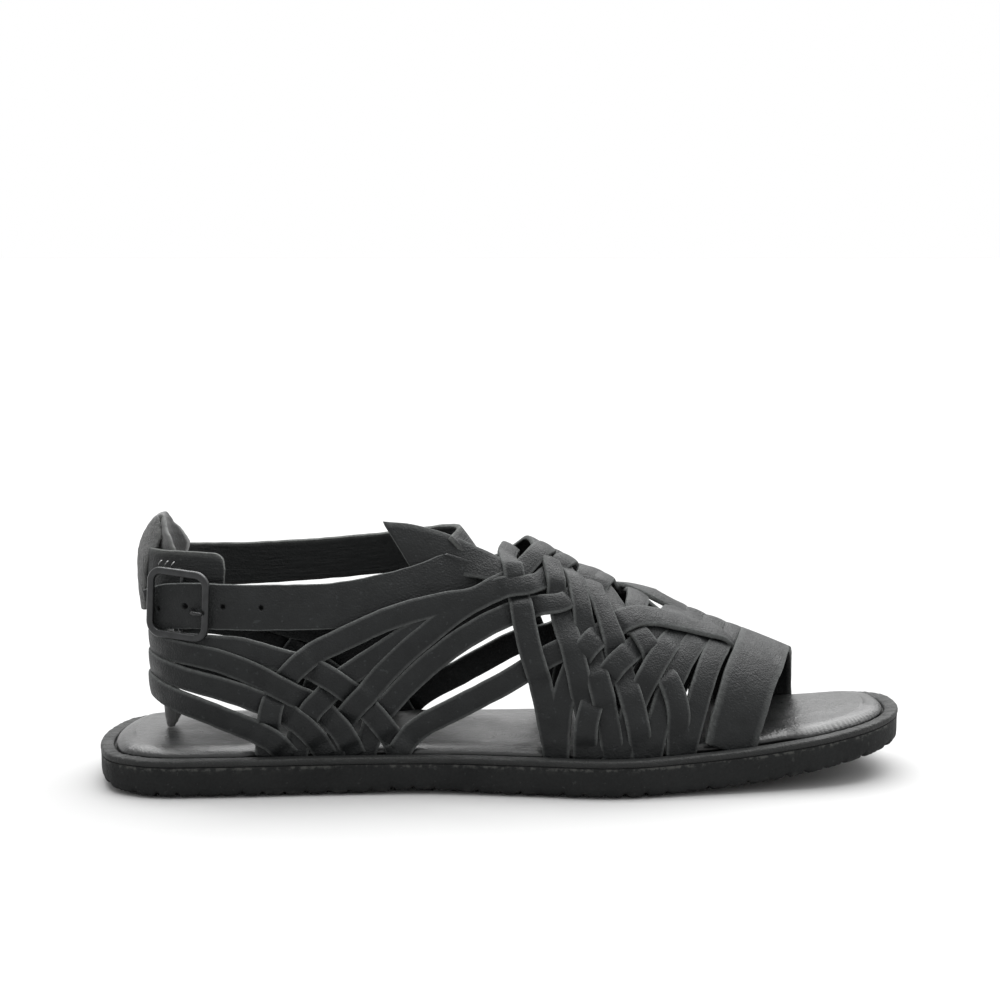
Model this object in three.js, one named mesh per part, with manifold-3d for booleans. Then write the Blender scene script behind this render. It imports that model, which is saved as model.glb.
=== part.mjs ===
// Woven-strap open-toe sandal, right foot, men's EU 43. Millimetres, +X towards the toe, +Z up,
// -Y the outer (little-toe) side, +Y the inner (big-toe) side.
// A rubber outsole, a wrapped footbed board with a slot round its rim, a padded insole inside the
// slot, an upper of straps woven over and under, and an ankle strap with a buckle at the heel.
import * as THREE from "three";
import { mergeVertices } from "three/addons/utils/BufferGeometryUtils.js";
import Module from "manifold-3d";

const wasm = await Module();
wasm.setup();

// ---------------------------------------------------------------- driving sizes
const LENGTH = 289.3; // sole, heel to toe
const FOOTBED_Z = 13.1; // rim of the footbed above the ground
const TOE_SPRING = 9.9; // extra height of the rim at the toe tip
const SPRING_START = 180; // x where the toe spring begins
const BOARD = 2.4; // wrapped footbed board under the rim
const GAP = 0.3; // clearance between neighbouring pieces
const RIM_WIDTH = 4.6; // flat rim outside the strap slot
const SLOT_DEPTH = 1.5; // depth of the slot the straps stand in
const PAD_INSET = 8.0; // edge of the padded insole, in from the sole edge
const PAD_CROWN = 3.3; // height of the padded insole over the rim
const LAST_INSET = 7.7; // inner face of the upper, in from the sole edge
const SPINE_X = 45; // the heel sections fan round this upright line
const HEEL_X = 19; // inner face of the upper at the back of the heel
const WALL_P = 0.8; // section roundness across
const WALL_Q = 0.92; // section roundness upward
const STRAP = 1.8; // strap leather thickness
const RISE = 1.0; // how far the over-lying straps stand out
const WOVEN_WIDTH = 8.2; // ordinary woven strap
const TOE_BAND_WIDTH = 19;
const TOE_BAND_THICK = 2.4;
const ANKLE_WIDTH = 16;
const ANKLE_THICK = 2.0;
const INNER_FORWARD = 0.3; // how far the inner side's strap feet lie ahead, per mm past the instep
const END_SLANT = -5; // slant of the cut end of the strap that turns back along the collar
const STATIONS = 9; // sections along a strap

// ---------------------------------------------------------------- tables
// sole outline, heel centre round the outer side to the toe and back
const OUTLINE = [
  { x: 0, y: 0 }, { x: 1.9, y: -15 }, { x: 7.5, y: -29 }, { x: 20, y: -36.8 }, { x: 45, y: -37.3 },
  { x: 80, y: -34.6 }, { x: 120, y: -33.4 }, { x: 150, y: -37 }, { x: 182, y: -41.2 }, { x: 210, y: -36.8 },
  { x: 240, y: -31.2 }, { x: 262, y: -25.4 }, { x: 278, y: -16.6 }, { x: 286.6, y: -5.5 }, { x: LENGTH, y: 9 },
  { x: 286.8, y: 25 }, { x: 278, y: 35.6 }, { x: 262, y: 41.5 }, { x: 240, y: 47.4 }, { x: 212, y: 51 },
  { x: 190, y: 47.8 }, { x: 160, y: 40.8 }, { x: 125, y: 39 }, { x: 80, y: 39.8 }, { x: 45, y: 38.8 },
  { x: 20, y: 37.8 }, { x: 7.5, y: 31 }, { x: 1.9, y: 17 },
];
// underside of the outsole: heel lift, arch, ball flat on the ground, toe spring
const UNDERSIDE = [
  { x: 0, z: 2.0 }, { x: 8, z: 0.9 }, { x: 22, z: 0 }, { x: 85, z: 0 }, { x: 115, z: 0.9 }, { x: 145, z: 0 },
  { x: 190, z: 0 }, { x: 205, z: 0.6 }, { x: 220, z: 1.6 }, { x: 235, z: 3.0 }, { x: 250, z: 5.0 },
  { x: 265, z: 7.4 }, { x: 280, z: 10.0 }, { x: LENGTH, z: 11.7 },
];
// crown of the last over each section (above the open collar it is only the curve the walls lean to)
const CROWN = [
  { s: 0, z: 215 }, { s: 45, z: 190 }, { s: 70, z: 165 }, { s: 90, z: 140 }, { s: 105, z: 121 }, { s: 120, z: 105 },
  { s: 132, z: 95.5 }, { s: 142, z: 89 }, { s: 150, z: 84.2 }, { s: 160, z: 78.2 }, { s: 172, z: 71.6 },
  { s: 185, z: 65.8 }, { s: 200, z: 59 }, { s: 215, z: 52.3 }, { s: 232, z: 45.8 }, { s: 250, z: 38.8 },
];
// sideways place of the crown
const RIDGE = [{ s: 0, y: 0 }, { s: 45, y: 0.5 }, { s: 100, y: 1 }, { s: 150, y: 2.5 }, { s: 200, y: 6 }, { s: 250, y: 9 }];

// ---------------------------------------------------------------- curves
// smooth single-valued curve through the rows of a table, without overshoot
function through(rows, key, value) {
  const n = rows.length;
  const slope = rows.map((row, i) => {
    if (i === 0) return (rows[1][value] - row[value]) / (rows[1][key] - row[key]);
    const a = (row[value] - rows[i - 1][value]) / (row[key] - rows[i - 1][key]);
    if (i === n - 1) return a;
    const b = (rows[i + 1][value] - row[value]) / (rows[i + 1][key] - row[key]);
    return a * b <= 0 ? 0 : (2 * a * b) / (a + b);
  });
  return (x) => {
    if (x <= rows[0][key]) return rows[0][value] + (x - rows[0][key]) * slope[0];
    if (x >= rows[n - 1][key]) return rows[n - 1][value] + (x - rows[n - 1][key]) * slope[n - 1];
    let i = 0;
    while (x > rows[i + 1][key]) i++;
    const h = rows[i + 1][key] - rows[i][key];
    const t = (x - rows[i][key]) / h;
    const [t2, t3] = [t * t, t * t * t];
    return (2 * t3 - 3 * t2 + 1) * rows[i][value] + (t3 - 2 * t2 + t) * h * slope[i]
      + (3 * t2 - 2 * t3) * rows[i + 1][value] + (t3 - t2) * h * slope[i + 1];
  };
}
const underside = through(UNDERSIDE, "x", "z");
const crown = through(CROWN, "s", "z");
const ridge = through(RIDGE, "s", "y");
const footbed = (x) => FOOTBED_Z + TOE_SPRING * (Math.max(x - SPRING_START, 0) / 109) ** 2;
const clamp01 = (t) => Math.min(Math.max(t, 0), 1);
const ease = (t) => { const u = clamp01(t); return u * u * (3 - 2 * u); };

// the outline sampled finely, and its half width at any x on either side
const fine = new THREE.CatmullRomCurve3(OUTLINE.map((p) => new THREE.Vector3(p.x, p.y, 0)), true, "centripetal").getPoints(OUTLINE.length * 24);
fine.pop();
const tipIndex = fine.reduce((best, p, i) => (p.x > fine[best].x ? i : best), 0);
const outerEdge = fine.slice(0, tipIndex + 1);
const innerEdge = [...fine.slice(tipIndex), fine[0]].reverse();
function halfWidth(x, side) {
  const edge = side < 0 ? outerEdge : innerEdge;
  let i = 1;
  while (i < edge.length - 1 && edge[i].x < x) i++;
  const [a, b] = [edge[i - 1], edge[i]];
  return Math.abs(a.y + (b.y - a.y) * clamp01((x - a.x) / (b.x - a.x)));
}

// ---------------------------------------------------------------- the last
// s runs along the foot, phi climbs from the outer feather line (0) over the crown (90) to the inner one (180)
function planRadius(s, side) {
  if (s >= SPINE_X) return halfWidth(s, side) - LAST_INSET;
  const turn = ((SPINE_X - s) / SPINE_X) * (Math.PI / 2);
  const beside = halfWidth(SPINE_X, side) - LAST_INSET;
  const behind = SPINE_X - HEEL_X;
  return 1 / ((Math.cos(turn) / beside) ** 2.3 + (Math.sin(turn) / behind) ** 2.3) ** (1 / 2.3);
}
function onLast(s, phi) {
  const side = phi <= 90 ? -1 : 1;
  const up = phi <= 90 ? phi : 180 - phi;
  const a = (Math.min(Math.max(up, 0), 90) * Math.PI) / 180;
  const turn = clamp01((SPINE_X - s) / SPINE_X) * (Math.PI / 2);
  const middle = ridge(s) * Math.cos(turn);
  const foot = footbed(Math.max(s, SPINE_X));
  const radius = planRadius(s, side) - side * middle;
  const out = radius * Math.max(Math.cos(a), 0) ** WALL_P;
  const z = foot + (crown(s) - foot) * Math.sin(a) ** WALL_Q + Math.min(up, 0) * 0.4;
  return new THREE.Vector3(Math.max(s, SPINE_X) - out * Math.sin(turn), middle + side * out * Math.cos(turn), z);
}
const phiAt = (s, z) => {
  const foot = footbed(Math.max(s, SPINE_X));
  return (Math.asin(clamp01((z - foot) / (crown(s) - foot)) ** (1 / WALL_Q)) * 180) / Math.PI;
};
function outward(s, phi) {
  const f = Math.min(Math.max(phi, 1), 179);
  const along = onLast(s + 0.6, f).sub(onLast(Math.max(s - 0.6, 0), f));
  const over = onLast(s, f + 0.6).sub(onLast(s, f - 0.6));
  const n = over.cross(along).normalize();
  const p = onLast(s, f);
  return n.dot(p.sub(new THREE.Vector3(Math.max(s, SPINE_X), ridge(Math.max(s, SPINE_X)), 20))) < 0 ? n.negate() : n;
}

// ---------------------------------------------------------------- meshes and solids
function geometryOf(points, faces) {
  const g = new THREE.BufferGeometry();
  g.setAttribute("position", new THREE.Float32BufferAttribute(points.flatMap((p) => [p.x, p.y, p.z]), 3));
  g.setIndex(faces.flat());
  return g;
}
function solidOf(geometry) {
  const g = geometry.clone();
  g.deleteAttribute("normal");
  g.deleteAttribute("uv");
  const m = mergeVertices(g, 1e-4);
  return new wasm.Manifold(new wasm.Mesh({
    numProp: 3, vertProperties: new Float32Array(m.attributes.position.array), triVerts: new Uint32Array(m.index.array),
  }));
}
function geometryFrom(solid) {
  const mesh = solid.getMesh();
  const g = new THREE.BufferGeometry();
  g.setAttribute("position", new THREE.BufferAttribute(new Float32Array(mesh.vertProperties), 3));
  g.setIndex(new THREE.BufferAttribute(new Uint32Array(mesh.triVerts), 1));
  return g;
}
// closed tube of quads through equal-sided sections, capped flat at both ends
function skin(sections) {
  const m = sections[0].length;
  const points = sections.flat();
  const faces = [];
  for (let i = 0; i < sections.length - 1; i++) {
    for (let j = 0; j < m; j++) {
      const [a, b] = [i * m + j, i * m + ((j + 1) % m)];
      faces.push([a, b, b + m], [a, b + m, a + m]);
    }
  }
  const last = (sections.length - 1) * m;
  for (let j = 1; j < m - 1; j++) {
    faces.push([0, j + 1, j], [last, last + j, last + j + 1]);
  }
  let volume = 0;
  for (const [a, b, c] of faces) volume += points[a].dot(points[b].clone().cross(points[c]));
  if (volume < 0) for (const f of faces) f.reverse();
  return geometryOf(points, faces);
}

// a strap along the last: rows hold s and phi of its centre line;
// rise and riseEnd are the heights of its inner face over the last
function strap(rows, { width = WOVEN_WIDTH, widthEnd = width, thick = STRAP, rise = 0, riseEnd = rise, stations = STATIONS, shift = 0, slant = 0 } = {}) {
  const curve = new THREE.CatmullRomCurve3(rows.map(({ s, phi }) => new THREE.Vector3(s, phi * 0.6, 0)), false, "centripetal");
  const path = [];
  for (let i = 0; i <= stations; i++) {
    const p = curve.getPointAt(i / stations);
    path.push({ s: p.x, phi: p.y / 0.6 });
  }
  return ribbon(path.map(({ s, phi }, i) => {
    const t = i / stations;
    return { at: onLast(s, phi), n: outward(s, phi), width: width + (widthEnd - width) * t, rise: rise + (riseEnd - rise) * ease((t - 0.3) / 0.4) + shift, slant: i === stations ? slant : 0 };
  }), thick);
}
// a strap round the back of the heel: rows hold u, the distance round from the back (outer side
// negative, inner side positive), and the height z of the centre line
function roundHeel(rows, { width = WOVEN_WIDTH, thick = STRAP, rise = 0, riseEnd = rise, stations = 16, lean = 0 } = {}) {
  const curve = new THREE.CatmullRomCurve3(rows.map(({ u, z }) => new THREE.Vector3(u, z, 0)), false, "centripetal");
  return ribbon(Array.from({ length: stations + 1 }, (_, i) => {
    const t = i / stations;
    const p = curve.getPointAt(t);
    const s = Math.abs(p.x);
    const low = FOOTBED_Z - p.y;
    const up = low > 0 ? -low / 0.4 : phiAt(s, p.y);
    const phi = p.x < 0 ? up : 180 - up;
    return { at: onLast(s, phi), n: outward(s, phi), width, rise: rise + (riseEnd - rise) * ease((t - 0.3) / 0.4) + lean };
  }), thick);
}
const bothSides = (rows) => [...[...rows].reverse().map(({ s, z }) => ({ u: -s, z })), ...rows.filter(({ s }) => s > 0).map(({ s, z }) => ({ u: s, z }))];
function ribbon(path, thick) {
  return solidOf(skin(path.map(({ at, n, width, rise, slant = 0 }, i) => {
    const before = path[Math.max(i - 1, 0)].at;
    const after = path[Math.min(i + 1, path.length - 1)].at;
    const along = after.clone().sub(before).normalize();
    const across = n.clone().cross(along).normalize();
    const up = along.clone().cross(across).normalize();
    if (up.dot(n) < 0) up.negate();
    const corner = (w, h) => at.clone().addScaledVector(across, w * width / 2).addScaledVector(up, h).addScaledVector(along, w * slant);
    return [corner(-1, rise), corner(1, rise), corner(1, rise + thick), corner(-1, rise + thick)];
  })));
}
const joinAll = (solids) => solids.reduce((a, b) => a.add(b));

// the same strap on the inner side: mirrored over the crown, its foot moved forward towards the toe
const mirrored = (rows) => rows.map(({ s, phi }) => ({
  s: s + INNER_FORWARD * Math.max(s - 150, 0) * ease((100 - phi) / 60),
  phi: 180 - phi,
}));
const reversed = (rows) => [...rows].reverse();

// ---------------------------------------------------------------- sole pieces
// rings of matching points round the outline, the outer side first, heel to toe and back
const ACROSS = 26;
const ringStations = Array.from({ length: ACROSS + 1 }, (_, i) => (LENGTH / 2) * (1 - Math.cos((Math.PI * i) / ACROSS)));
function outlineRing(inset, zOf) {
  const tip = outerEdge[outerEdge.length - 1];
  const at = (x, side) => new THREE.Vector3(x, x <= 0.001 ? 0 : x >= LENGTH - 0.001 ? tip.y : side * halfWidth(x, side) * (side < 0 && x > 283.9 ? signAtTip(x) : 1), 0);
  const outer = ringStations.map((x) => at(x, -1));
  const inner = ringStations.slice(1, -1).map((x) => at(x, 1)).reverse();
  const ring = [...outer, ...inner];
  return ring.map((p, i) => {
    const a = ring[(i + ring.length - 1) % ring.length];
    const b = ring[(i + 1) % ring.length];
    const d = b.clone().sub(a).normalize();
    const q = new THREE.Vector3(p.x - d.y * inset, p.y + d.x * inset, 0);
    q.z = zOf(Math.min(Math.max(q.x, 0), LENGTH));
    return q;
  });
}
// near the toe tip the outer edge crosses the centre line
function signAtTip(x) {
  let i = 1;
  while (i < outerEdge.length - 1 && outerEdge[i].x < x) i++;
  return outerEdge[i].y > 0 ? -1 : 1;
}
// rings from the lowest inwards-facing one to the top, closed below and above by ladders across
function ringSolid(rings) {
  const n = rings[0].length;
  const points = rings.flat();
  const faces = [];
  for (let k = 0; k < rings.length - 1; k++) {
    for (let i = 0; i < n; i++) {
      const [a, b] = [k * n + i, k * n + ((i + 1) % n)];
      faces.push([a, b, b + n], [a, b + n, a + n]);
    }
  }
  const ladder = (start, flip) => {
    for (let i = 0; i < ACROSS; i++) {
      const [a, b] = [start + i, start + i + 1];
      const [c, d] = [start + ((n - i - 1) % n), start + ((n - i) % n)];
      const quad = i === 0 ? [[a, b, c]] : i === ACROSS - 1 ? [[a, b, d]] : [[a, b, c], [a, c, d]];
      for (const f of quad) faces.push(flip ? [...f].reverse() : f);
    }
  };
  ladder(0, true);
  ladder((rings.length - 1) * n, false);
  return geometryOf(points, faces);
}

const outsole = ringSolid([
  outlineRing(3.0, underside),
  outlineRing(0.9, (x) => underside(x) + 0.7),
  outlineRing(0.0, (x) => underside(x) + 2.6 + 2.2 * clamp01(1 - x / 30)),
  outlineRing(0.0, (x) => footbed(x) - BOARD - GAP),
]);

const board = ringSolid([
  outlineRing(0.4, (x) => footbed(x) - BOARD),
  outlineRing(-0.2, (x) => footbed(x) - BOARD + 0.5),
  outlineRing(-0.2, (x) => footbed(x) - 0.6),
  outlineRing(0.5, (x) => footbed(x)),
  outlineRing(RIM_WIDTH, (x) => footbed(x)),
  outlineRing(RIM_WIDTH + 0.1, (x) => footbed(x) - SLOT_DEPTH),
]);

// the padded insole, or with room > 0 the space that its neighbours leave round it
const padOf = (room) => ringSolid([
  outlineRing(PAD_INSET - room, (x) => footbed(x) - SLOT_DEPTH + GAP - room),
  outlineRing(PAD_INSET - room, (x) => footbed(x) + 0.4 + room),
  outlineRing(PAD_INSET + 1.6 - room, (x) => footbed(x) + 0.55 * PAD_CROWN + room),
  outlineRing(PAD_INSET + 5.5 - room, (x) => footbed(x) + 0.85 * PAD_CROWN + room),
  outlineRing(PAD_INSET + 13 - room, (x) => footbed(x) + PAD_CROWN + room),
]);
const insole = padOf(0);
// everything the straps' feet keep clear of: below the slot floor, the rim outside the slot, the pad
const slotFloor = ringSolid([outlineRing(-12, () => -20), outlineRing(-12, (x) => footbed(x) - SLOT_DEPTH + GAP)]);
const rimBlock = ringSolid([outlineRing(-12, () => -20), outlineRing(-12, (x) => footbed(x) + GAP)]);
const insideSlot = ringSolid([outlineRing(RIM_WIDTH + GAP, () => -21), outlineRing(RIM_WIDTH + GAP, (x) => footbed(x) + 4)]);
const keepClear = solidOf(slotFloor).add(solidOf(rimBlock).subtract(solidOf(insideSlot))).add(solidOf(padOf(GAP)));

// ---------------------------------------------------------------- the woven upper
// a foot row at phi -3 stands 1.2 mm down in the slot of the footbed
// straps that lean back as they climb from the outer front feet
const LEAN_BACK = {
  one: [{ s: 162.7, phi: -3 }, { s: 160.8, phi: 6 }, { s: 157.3, phi: 19.4 }, { s: 152.7, phi: 32.7 }, { s: 149.1, phi: 48.3 }],
  two: [{ s: 176.4, phi: -3 }, { s: 172.4, phi: 16 }, { s: 168.5, phi: 33 }, { s: 163.5, phi: 51.6 }, { s: 161.5, phi: 64.5 }],
  three: [{ s: 182.7, phi: -3 }, { s: 179.1, phi: 17.5 }, { s: 174.5, phi: 36 }, { s: 170.4, phi: 58.7 }, { s: 167.9, phi: 74.6 }],
  four: [{ s: 193.1, phi: -3 }, { s: 188.7, phi: 17.7 }, { s: 184, phi: 36.4 }, { s: 178.6, phi: 57.7 }, { s: 175.2, phi: 71 }],
  five: [{ s: 204.8, phi: -3 }, { s: 203.9, phi: 21.4 }, { s: 197, phi: 40.4 }, { s: 187.9, phi: 58.4 }, { s: 183.4, phi: 69 }],
};
// straps that lean forward as they climb from the outer rear feet
const LEAN_FORWARD = {
  one: [{ s: 60.5, phi: -3 }, { s: 62, phi: 4.2 }, { s: 68.5, phi: 9 }, { s: 93.4, phi: 18.8 }, { s: 121.7, phi: 33.4 }, { s: 136.4, phi: 42.1 }, { s: 151, phi: 63.5 }],
  two: [{ s: 82, phi: -3 }, { s: 88.1, phi: 4.3 }, { s: 97.4, phi: 9.8 }, { s: 117.9, phi: 25 }, { s: 142, phi: 46.9 }, { s: 155.7, phi: 58.3 }],
  three: [{ s: 93, phi: -3 }, { s: 99, phi: 4.5 }, { s: 107.7, phi: 10.5 }, { s: 128.7, phi: 25.8 }, { s: 153.2, phi: 45.5 }, { s: 166.3, phi: 56.5 }],
};
const TUCKED = {
  high: [{ s: 70, phi: -3 }, { s: 72.7, phi: 2.6 }, { s: 85, phi: 8.9 }, { s: 101, phi: 16.4 }, { s: 118.2, phi: 26.6 }],
  low: [{ s: 103, phi: -3 }, { s: 110.8, phi: 2.6 }, { s: 129.2, phi: 10 }, { s: 147.8, phi: 20.1 }, { s: 166, phi: 35.4 }],
};
// straps over the forefoot, from their outer feet to the crown
const ARCHES = {
  first: [{ s: 172.1, phi: -3 }, { s: 173.8, phi: 13.7 }, { s: 180.4, phi: 29.4 }, { s: 191.5, phi: 47.1 }, { s: 197.7, phi: 60 }, { s: 203, phi: 76 }],
  second: [{ s: 183.9, phi: -3 }, { s: 187.8, phi: 13.2 }, { s: 193, phi: 28.9 }, { s: 200.5, phi: 48.8 }, { s: 205.8, phi: 62.5 }, { s: 210, phi: 77 }],
  third: [{ s: 194.5, phi: -3 }, { s: 197.9, phi: 13.6 }, { s: 202.3, phi: 29.5 }, { s: 208.6, phi: 50.2 }, { s: 213.3, phi: 64.7 }, { s: 217, phi: 78 }],
  fourth: [{ s: 206.7, phi: -3 }, { s: 210, phi: 13.6 }, { s: 213.1, phi: 29.2 }, { s: 217.2, phi: 48.9 }, { s: 220.3, phi: 62.1 }, { s: 223.5, phi: 77 }],
};
const LENGTHWISE = [{ s: 162.8, phi: -3 }, { s: 164.5, phi: 15 }, { s: 170.8, phi: 33.4 }, { s: 184.2, phi: 54.4 }, { s: 192.3, phi: 64 }, { s: 206.2, phi: 72 }, { s: 219.8, phi: 77 }, { s: 234, phi: 80 }];
const TOE_BAND = [
  { s: 223, phi: -3 }, { s: 225.5, phi: 12 }, { s: 228.5, phi: 27 }, { s: 231, phi: 42 }, { s: 234, phi: 57 }, { s: 238.5, phi: 86 },
  { s: 242.5, phi: 110 }, { s: 244.5, phi: 135 }, { s: 245.5, phi: 160 }, { s: 246, phi: 183 },
];
// straps round the back of the heel, heights on the outer side from the back to the foot of the strap
const HEEL_STRAPS = {
  upper: [{ s: 0, z: 50.5 }, { s: 27, z: 50 }, { s: 45, z: 47 }, { s: 67, z: 36.5 }, { s: 79, z: 29.5 }, { s: 87, z: 21.5 }, { s: 92, z: 12 }],
  middle: [{ s: 0, z: 42.5 }, { s: 20, z: 42.5 }, { s: 41, z: 38.5 }, { s: 60, z: 31.5 }, { s: 70, z: 26.5 }, { s: 77, z: 20 }, { s: 82, z: 12 }],
  lower: [{ s: 0, z: 33.5 }, { s: 18, z: 34 }, { s: 38, z: 30.5 }, { s: 52, z: 25 }, { s: 62, z: 20 }, { s: 69, z: 12 }],
};
const TUCKED_HEEL = [{ s: 24, z: 52 }, { s: 38, z: 52 }, { s: 51, z: 51 }, { s: 65, z: 47 }, { s: 79, z: 42.5 }, { s: 90, z: 35 }, { s: 101, z: 24 }, { s: 108, z: 12 }];

const over = { rise: RISE };
const pieces = [];
// straps that cross the crown, each from one side's front feet to the other side's rear feet
const crossings = [
  [LEAN_BACK.two, LEAN_FORWARD.one],
  [LEAN_BACK.three, LEAN_FORWARD.two],
  [LEAN_BACK.four, LEAN_FORWARD.three],
];
for (const [front, rear] of crossings) {
  pieces.push(strap([...front, ...reversed(mirrored(rear))], { stations: 2 * STATIONS }));
  pieces.push(strap([...rear, ...reversed(mirrored(front))], { ...over, stations: 2 * STATIONS }));
}
pieces.push(strap([...LEAN_BACK.five, { s: 180, phi: 84 }, { s: 174, phi: 112 }, ...reversed(mirrored(TUCKED.low))], { stations: 2 * STATIONS }));
pieces.push(strap([{ s: 176, phi: 66 }, { s: 179, phi: 84 }, { s: 184, phi: 104 }, ...reversed(mirrored(LEAN_BACK.five))], over));
pieces.push(strap(TUCKED.high, over), strap(TUCKED.low, over), strap(mirrored(TUCKED.high), {}));
// the rearmost front strap turns back along the collar and widens to a cut end
pieces.push(strap([...LEAN_BACK.one, { s: 145, phi: 55.5 }]));
pieces.push(strap([{ s: 146, phi: 54 }, { s: 138, phi: 55.5 }, { s: 128, phi: 53.5 }, { s: 118, phi: 48.5 }, { s: 107.5, phi: 42.5 }], { width: 9, widthEnd: 16, rise: 0.2, slant: END_SLANT }));
pieces.push(strap([{ s: 147.5, phi: 59 }, { s: 149.5, phi: 76 }, { s: 150, phi: 96 }, { s: 149, phi: 118 }, ...reversed(mirrored(LEAN_BACK.one))], { rise: RISE * 1.4, riseEnd: RISE }));
// forefoot arches, over on the outer side and under on the inner side
for (const rows of Object.values(ARCHES)) {
  pieces.push(strap([...rows, ...reversed(mirrored(rows))], { rise: RISE, riseEnd: 0, stations: 2 * STATIONS - 4 }));
}
pieces.push(strap(LENGTHWISE, { rise: RISE, riseEnd: 2 * RISE, widthEnd: 10.5 }));
pieces.push(strap(mirrored(LENGTHWISE), { rise: 0, riseEnd: RISE }));
pieces.push(strap(TOE_BAND, { width: TOE_BAND_WIDTH, thick: TOE_BAND_THICK, rise: 0.3, stations: 14 }));
// heel straps run right round, under at the outer side and over at the inner side
for (const rows of Object.values(HEEL_STRAPS)) {
  pieces.push(roundHeel(bothSides(rows), { rise: 0, riseEnd: RISE }));
}
for (const side of [-1, 1]) {
  pieces.push(roundHeel(TUCKED_HEEL.map(({ s, z }) => ({ u: side * s, z })), { rise: side < 0 ? 0 : RISE, stations: STATIONS }));
}

// ---------------------------------------------------------------- ankle strap and buckle
// both halves are upright bands round the ankle: rows hold the middle of the band and how much it
// leans up towards the sky (0 upright)
const ANKLE_FRONT = [
  { x: 19.5, y: -19.9, z: 62.5, lean: 0.05 }, { x: 25, y: -22.4, z: 64.6, lean: 0.05 }, { x: 31, y: -25.5, z: 65.5, lean: 0.06 }, { x: 42, y: -29.4, z: 66.0, lean: 0.1 },
  { x: 55, y: -28.6, z: 65.4, lean: 0.14 }, { x: 69, y: -26.2, z: 65.0, lean: 0.16 }, { x: 85, y: -23.4, z: 65.2, lean: 0.2 },
  { x: 100, y: -20.8, z: 67.4, lean: 0.32 }, { x: 116, y: -17.3, z: 71.0, lean: 0.55 }, { x: 130, y: -13.4, z: 76.0, lean: 0.85 },
];
const ANKLE_BACK = [
  { x: 46.5, y: -23.8, z: 75.5, lean: 0.06 }, { x: 38, y: -22.4, z: 76, lean: 0.05 }, { x: 29, y: -18.9, z: 76, lean: 0.05 },
  { x: 22.5, y: -15.5, z: 76, lean: 0.05 }, { x: 18.2, y: -8.5, z: 75.6, lean: 0.05 }, { x: 16.9, y: 0, z: 75, lean: 0.05 },
  { x: 18.2, y: 8.5, z: 74.4, lean: 0.05 }, { x: 23, y: 17, z: 73.6, lean: 0.05 }, { x: 34, y: 24.5, z: 72.8, lean: 0.1 },
  { x: 53, y: 28, z: 72.6, lean: 0.14 }, { x: 80, y: 28.2, z: 74.4, lean: 0.2 }, { x: 102, y: 25.8, z: 76.8, lean: 0.28 },
  { x: 117, y: 22, z: 79.4, lean: 0.4 }, { x: 126, y: 15.5, z: 81.6, lean: 0.55 }, { x: 131.3, y: 7, z: 83, lean: 0.65 },
  { x: 132.6, y: -2.5, z: 83, lean: 0.7 }, { x: 130, y: -11, z: 81, lean: 0.75 },
];
// an upright band through the rows; room grows it on every side; skew slants its last cut
function band(rows, { width = ANKLE_WIDTH, thick = ANKLE_THICK, stations = 24, room = 0, skew = 0, side = 1 } = {}) {
  const at = new THREE.CatmullRomCurve3(rows.map(({ x, y, z }) => new THREE.Vector3(x, y, z)), false, "centripetal");
  const lean = through(rows.map((row, i) => ({ i, lean: row.lean })), "i", "lean");
  const points = at.getPoints(stations);
  return solidOf(skin(points.map((p, i) => {
    const along = points[Math.min(i + 1, stations)].clone().sub(points[Math.max(i - 1, 0)]).normalize();
    const n = new THREE.Vector3(along.y * side, -along.x * side, 0).normalize();
    n.z = lean((i / stations) * (rows.length - 1));
    n.normalize();
    const across = n.clone().cross(along).normalize();
    const up = along.clone().cross(across).normalize();
    if (up.dot(n) < 0) up.negate();
    if (across.z < 0) across.negate();
    const end = i === 0 ? -room : i === stations ? room : 0;
    const corner = (w, h) => p.clone().addScaledVector(across, w * (width / 2 + room)).addScaledVector(up, h * (thick / 2 + room))
      .addScaledVector(along, end - (i === stations ? w * skew : 0));
    return [corner(-1, -1), corner(1, -1), corner(1, 1), corner(-1, 1)];
  })));
}
const ANKLE_SKEW = 5.5; // slant of the front cut of the buckled half
const frontBand = (room) => band(ANKLE_FRONT, { stations: 14, room, skew: ANKLE_SKEW });
const backBand = (room) => band(ANKLE_BACK, { stations: 26, room, side: -1 });

// the buckle stands on the band, its long axis along it
const BUCKLE = { x: 31.2, y: -28.6, z: 66.6, length: 24, height: 25, bar: 2.7, thick: 2.2, corner: 5.5, turn: 26, tip: 3 };
const BUCKLE_DROP = 5.3; // the middle bar lies this far behind the frame, behind the strap
const placeBuckle = (geometry) => {
  const m = new THREE.Matrix4().makeTranslation(BUCKLE.x, BUCKLE.y, BUCKLE.z);
  m.multiply(new THREE.Matrix4().makeRotationZ((-BUCKLE.turn * Math.PI) / 180));
  m.multiply(new THREE.Matrix4().makeRotationX(Math.PI / 2));
  m.multiply(new THREE.Matrix4().makeRotationZ((-BUCKLE.tip * Math.PI) / 180));
  return geometry.applyMatrix4(m);
};
function roundedBox(shape, w, h, r) {
  shape.moveTo(-w / 2 + r, -h / 2);
  shape.lineTo(w / 2 - r, -h / 2).absarc(w / 2 - r, -h / 2 + r, r, -Math.PI / 2, 0, false);
  shape.lineTo(w / 2, h / 2 - r).absarc(w / 2 - r, h / 2 - r, r, 0, Math.PI / 2, false);
  shape.lineTo(-w / 2 + r, h / 2).absarc(-w / 2 + r, h / 2 - r, r, Math.PI / 2, Math.PI, false);
  shape.lineTo(-w / 2, -h / 2 + r).absarc(-w / 2 + r, -h / 2 + r, r, Math.PI, 1.5 * Math.PI, false);
  return shape;
}
const ring = roundedBox(new THREE.Shape(), BUCKLE.length, BUCKLE.height, BUCKLE.corner);
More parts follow.
